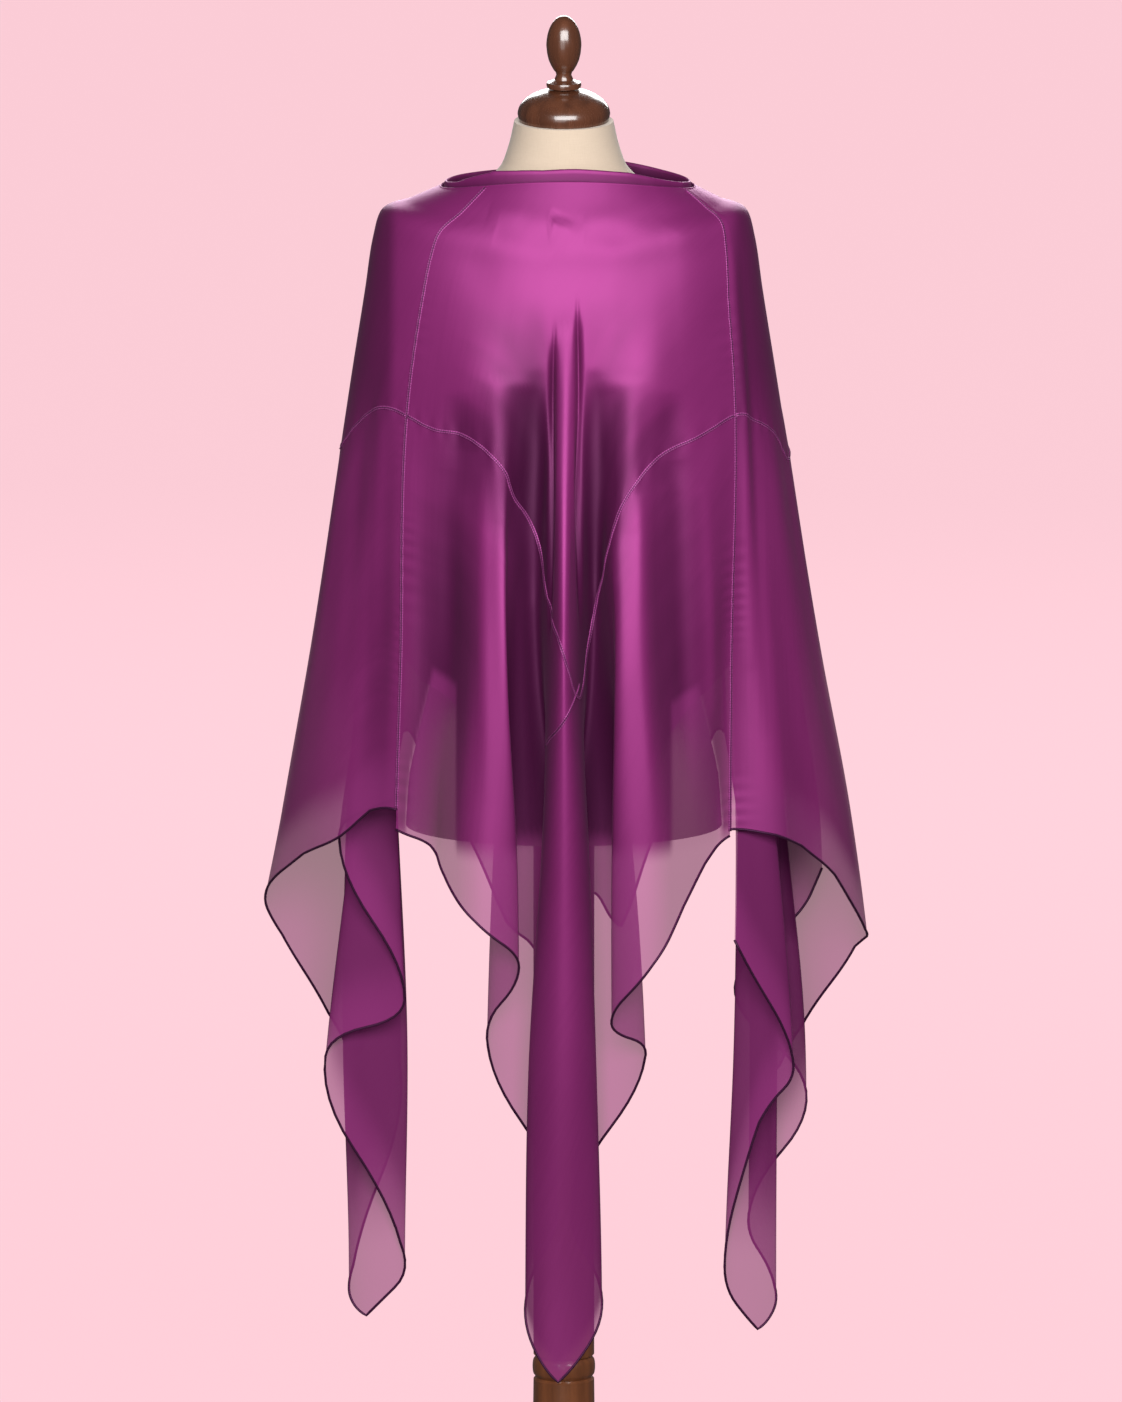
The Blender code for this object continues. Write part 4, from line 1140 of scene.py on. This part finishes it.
# %% The form
# height, half width, front depth, back depth in mm
FORM_SECTIONS = [
    (795, 166, 112, 118), (850, 162, 110, 117), (900, 151, 104, 110), (960, 137, 97, 99),
    (1020, 126, 92, 90), (1100, 131, 100, 90), (1200, 146, 110, 95), (1280, 158, 114, 99),
    (1350, 173, 108, 99), (1400, 189, 94, 92), (1430, 193, 78, 78), (1446.8, 191.8, 62, 62),
    (1451, 182, 56, 56), (1456, 156, 53, 52), (1465, 122, 52, 51), (1479, 88, 52, 53),
    (1500, 66, 52, 55), (1525, 57, 52, 54), (1548, 52, 52, 52),
]
FORM_SIDES = 96


def deselect_everything():
    """Leave edit mode and select nothing."""
    if bpy.context.object and bpy.context.object.mode == "EDIT":
        bpy.ops.object.mode_set(mode="OBJECT")
    bpy.ops.object.select_all(action="DESELECT")


def place_in_mesh(obj, name, material):
    """Put an object's place into its mesh, name it and give it its finish."""
    deselect_everything()
    obj.select_set(True)
    bpy.context.view_layer.objects.active = obj
    bpy.ops.object.transform_apply(location=True, rotation=True, scale=True)
    obj.name = name
    obj.data.name = name
    obj.data.materials.clear()
    obj.data.materials.append(material)
    return obj


def select_where(obj, test):
    """Select, in edit mode, the vertices that pass a test on their place."""
    bm = bmesh.from_edit_mesh(obj.data)
    for vertex in bm.verts:
        vertex.select = test(vertex.co)
    bm.select_flush_mode()
    bmesh.update_edit_mesh(obj.data)


deselect_everything()
bpy.ops.mesh.primitive_circle_add(vertices=FORM_SIDES, radius=1.0, location=(0, 0, 0))
form = bpy.context.object
bpy.ops.object.mode_set(mode="EDIT")
bm = bmesh.from_edit_mesh(form.data)
bmesh.ops.delete(bm, geom=list(bm.verts), context="VERTS")
for height, half_width, front, back in FORM_SECTIONS:
    ring = []
    for side in range(FORM_SIDES):
        angle = 2 * math.pi * side / FORM_SIDES
        depth = back if math.sin(angle) > 0 else front
        place = (half_width * math.cos(angle) * MM, depth * math.sin(angle) * MM, height * MM)
        ring.append(bm.verts.new(place))
    for a, b in zip(ring, ring[1:] + ring[:1]):
        bm.edges.new((a, b))
bmesh.update_edit_mesh(form.data)
bpy.ops.mesh.select_all(action="SELECT")
bpy.ops.mesh.bridge_edge_loops(number_cuts=2, interpolation="SURFACE", smoothness=0.6)
bpy.ops.mesh.select_all(action="DESELECT")
bpy.ops.mesh.select_non_manifold()
bpy.ops.mesh.fill_holes(sides=0)
bpy.ops.mesh.select_all(action="SELECT")
bpy.ops.mesh.normals_make_consistent(inside=False)
bpy.ops.object.mode_set(mode="OBJECT")
form = place_in_mesh(form, "form_linen", linen.material)
bpy.ops.object.shade_smooth_by_angle(angle=math.radians(45))
print("form faces:", len(form.data.polygons))

# %% [markdown]
# The stand is turned wood. A circle is extruded upwards again and again, and each new ring is
# scaled to the profile's radius, just as a lathe sweeps a profile round its axis.

# %% Turned wood
def wood(name, dark, light, rings, roughness):
    """Varnished wood with upright grain."""
    finish = Finish(name, Coat_Weight=0.6, Coat_Roughness=0.08)
    warped = finish.place(OBJECT_PLACE, (rings, rings, rings * 0.07))
    figure = finish.noise(warped, 1.0, 5.0, 0.6)
    pores = finish.noise(finish.place(OBJECT_PLACE, (900.0, 900.0, 35.0)), 1.0, 2.0)
    finish.feed("Base Color", finish.blend(figure * 1.4 - 0.2 + pores * 0.15, dark, light))
    finish.feed("Roughness", roughness + pores * 0.12)
    finish.bump(pores * 0.7 + figure * 0.3, 0.0002, 0.35)
    return finish.material


WALNUT = wood("walnut_gloss", (0.022, 0.007, 0.004), (0.125, 0.042, 0.020), 55.0, 0.20)
POLE_BROWN = wood("pole_varnish", (0.050, 0.014, 0.006), (0.270, 0.088, 0.030), 70.0, 0.28)
WOOD_SIDES = 72


def arc(radius, height, wide, tall, start, end, count):
    """Points of an elliptic arc, as radius and height."""
    angles = np.radians(np.linspace(start, end, count))
    return [(radius + wide * math.cos(a), height + tall * math.sin(a)) for a in angles]


def turned(name, profile, material):
    """A turned solid from its profile in mm, listed from the foot to the top."""
    deselect_everything()
    radius, height = profile[0]
    bpy.ops.mesh.primitive_circle_add(vertices=WOOD_SIDES, radius=radius * MM, location=(0, 0, height * MM),
                                      fill_type="NGON")
    obj = bpy.context.object
    bpy.ops.object.mode_set(mode="EDIT")
    for radius_next, height_next in profile[1:]:
        up = (0, 0, (height_next - height) * MM)
        bpy.ops.mesh.extrude_region_move(TRANSFORM_OT_translate={"value": up})
        share = radius_next / radius
        bpy.ops.transform.resize(value=(share, share, 1.0), center_override=(0, 0, 0))
        radius, height = radius_next, height_next
    bpy.ops.mesh.select_all(action="SELECT")
    bpy.ops.mesh.normals_make_consistent(inside=False)
    bpy.ops.object.mode_set(mode="OBJECT")
    obj = place_in_mesh(obj, name, material)
    bpy.ops.object.shade_smooth_by_angle(angle=math.radians(40))
    print(name, "faces:", len(obj.data.polygons))
    return obj


# Profiles as radius and height in mm
base = [(166, 0), (170, 4), (170, 20)] + arc(160, 20, 10, 10, 15, 90, 8) + [(51, 30)]
pole = [(52, 30.3), (50, 50), (43, 64), (38, 80), (34, 100), (33, 120), (32, 197.5), (29.5, 200)]
pole += arc(31.5, 211, 1.5, 8, -70, 70, 9) + [(29.5, 222), (32, 224.5), (32, 500), (32, 794.7)]
cap = [(47, 1548.3)] + arc(0, 1555.3, 48.5, 27.7, 0, 78, 22) + [(2.5, 1582.8)]
finial = [(17.5, 1583.3), (18.4, 1586.5), (17.5, 1589), (13, 1590.5), (10, 1592), (7.9, 1597), (8.7, 1600)]
finial += [(10.5, 1602), (13.4, 1607), (16, 1613), (17.6, 1620)] + arc(0, 1628, 18.4, 32, 0, 82, 18)
WOOD = {
    "stand_base": turned("base_turned", base, WALNUT),
    "stand_pole": turned("pole_turned", pole, POLE_BROWN),
    "neck_cap": turned("cap_turned", cap, WALNUT),
    "finial": turned("finial_turned", finial, WALNUT),
}

# %% [markdown]
# The backdrop is a seamless sheet of pink paper, so a very large floor fills the whole picture. Its
# paper glows by itself, because a studio lights its backdrop apart from the dress form, and the
# cloth doesn't see it, so its pink doesn't tint the satin. A broad lamp high in front models the
# folds, a weak one fills them, and one behind lights the back. The floor is only a stage.

# %% Floor and light
FLOOR_PINK = (0.055, 0.034, 0.038, 1.0)
FLOOR_GLOW = (0.96, 0.60, 0.67, 1.0)
FLOOR_SIZE, FLOOR_DROP = 160, 1 * MM
STUDIO_AIR, STUDIO_STRENGTH = (1.0, 0.93, 0.95, 1.0), 0.08
deselect_everything()
bpy.ops.mesh.primitive_plane_add(size=FLOOR_SIZE, location=(0, 0, -FLOOR_DROP))
floor = bpy.context.object
floor.name = "floor"
floor_finish = Finish("floor_paper", Base_Color=FLOOR_PINK, Roughness=1.0, Specular_IOR_Level=0.0,
                      Emission_Color=FLOOR_GLOW, Emission_Strength=1.0)
floor.data.materials.append(floor_finish.material)
floor.visible_diffuse = False
floor.visible_glossy = False


def softbox(name, place, aim, width, height, power):
    """An oblong area light that points at a place."""
    data = bpy.data.lights.new(name, "AREA")
    data.shape = "RECTANGLE"
    data.size = width
    data.size_y = height
    data.energy = power
    light = bpy.data.objects.new(name, data)
    light.location = place
    light.rotation_euler = (Vector(aim) - Vector(place)).to_track_quat("-Z", "Y").to_euler()
    bpy.context.scene.collection.objects.link(light)


# place, aim, width and height in metres, power in watts
softbox("key", (0.3, -4.3, 3.3), (0, 0, 1.15), 4.6, 2.2, 420)
softbox("front", (-0.8, -5.2, 1.3), (0, 0, 0.8), 2.6, 2.6, 40)
softbox("back", (0.3, 4.6, 2.6), (0, 0, 0.9), 3.2, 2.4, 170)
world = bpy.data.worlds.new("studio")
world.use_nodes = True
world.node_tree.nodes["Background"].inputs["Color"].default_value = STUDIO_AIR
world.node_tree.nodes["Background"].inputs["Strength"].default_value = STUDIO_STRENGTH
bpy.context.scene.world = world
bpy.context.scene.view_settings.view_transform = "Standard"
print("lights:", [light.name for light in bpy.data.lights])

# %% [markdown]
# Every piece is tied to the model's one body and takes the place of its plain solid. The table
# below holds the size each cloth was cut to.

# %% Tie every piece to the frame
# width and length of the cloth each panel is cut from, area of its cut, how it is held, what it hangs on
CUTS = {
    "front_yoke": (0.37, 0.55, 0.117, "draped", ["form_torso"]),
    "side_yoke_left": (0.23, 0.33, 0.056, "draped", ["form_torso"]),
    "side_yoke_right": (0.21, 0.33, 0.049, "draped", ["form_torso"]),
    "back_yoke": (0.34, 0.27, 0.077, "draped", ["form_torso"]),
    "front_skirt": (0.73, 1.03, 0.377, "hung", ["front_yoke"]),
    "side_skirt_left": (0.35, 0.74, 0.158, "hung", ["side_yoke_left"]),
    "side_skirt_right": (0.36, 0.75, 0.163, "hung", ["side_yoke_right"]),
    "back_skirt": (0.45, 0.78, 0.208, "hung", ["back_yoke"]),
    "side_tail_left": (0.37, 0.99, 0.224, "hung", ["side_skirt_left"]),
    "side_tail_right": (0.41, 0.99, 0.220, "hung", ["side_skirt_right"]),
    "front_lining": (0.39, 0.42, 0.117, "hung", ["front_skirt"]),
    "neck_fold": (0.66, 0.062, 0.029, "folded", ["front_yoke"]),
}
for node, (width, length, area, held, hangs_on) in CUTS.items():
    piece = cloth_pieces[node]
    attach(piece, "root")
    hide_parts(node)
    sewn = [hem_pieces[node]] if node in hem_pieces else []
for piece in list(hem_pieces.values()) + seam_pieces:
    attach(piece, "root")
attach(form, "root")
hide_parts("form_torso")
for node, piece in WOOD.items():
    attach(piece, "root")
    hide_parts(node)
    "pole_wood" if node == "stand_pole" else "dark_wood"


def area_of(obj):
    """Surface area of a single sheet."""
    return sum(face.area for face in obj.data.polygons)


print("sheet areas:", {node: round(area_of(piece), 3) for node, piece in cloth_pieces.items()})
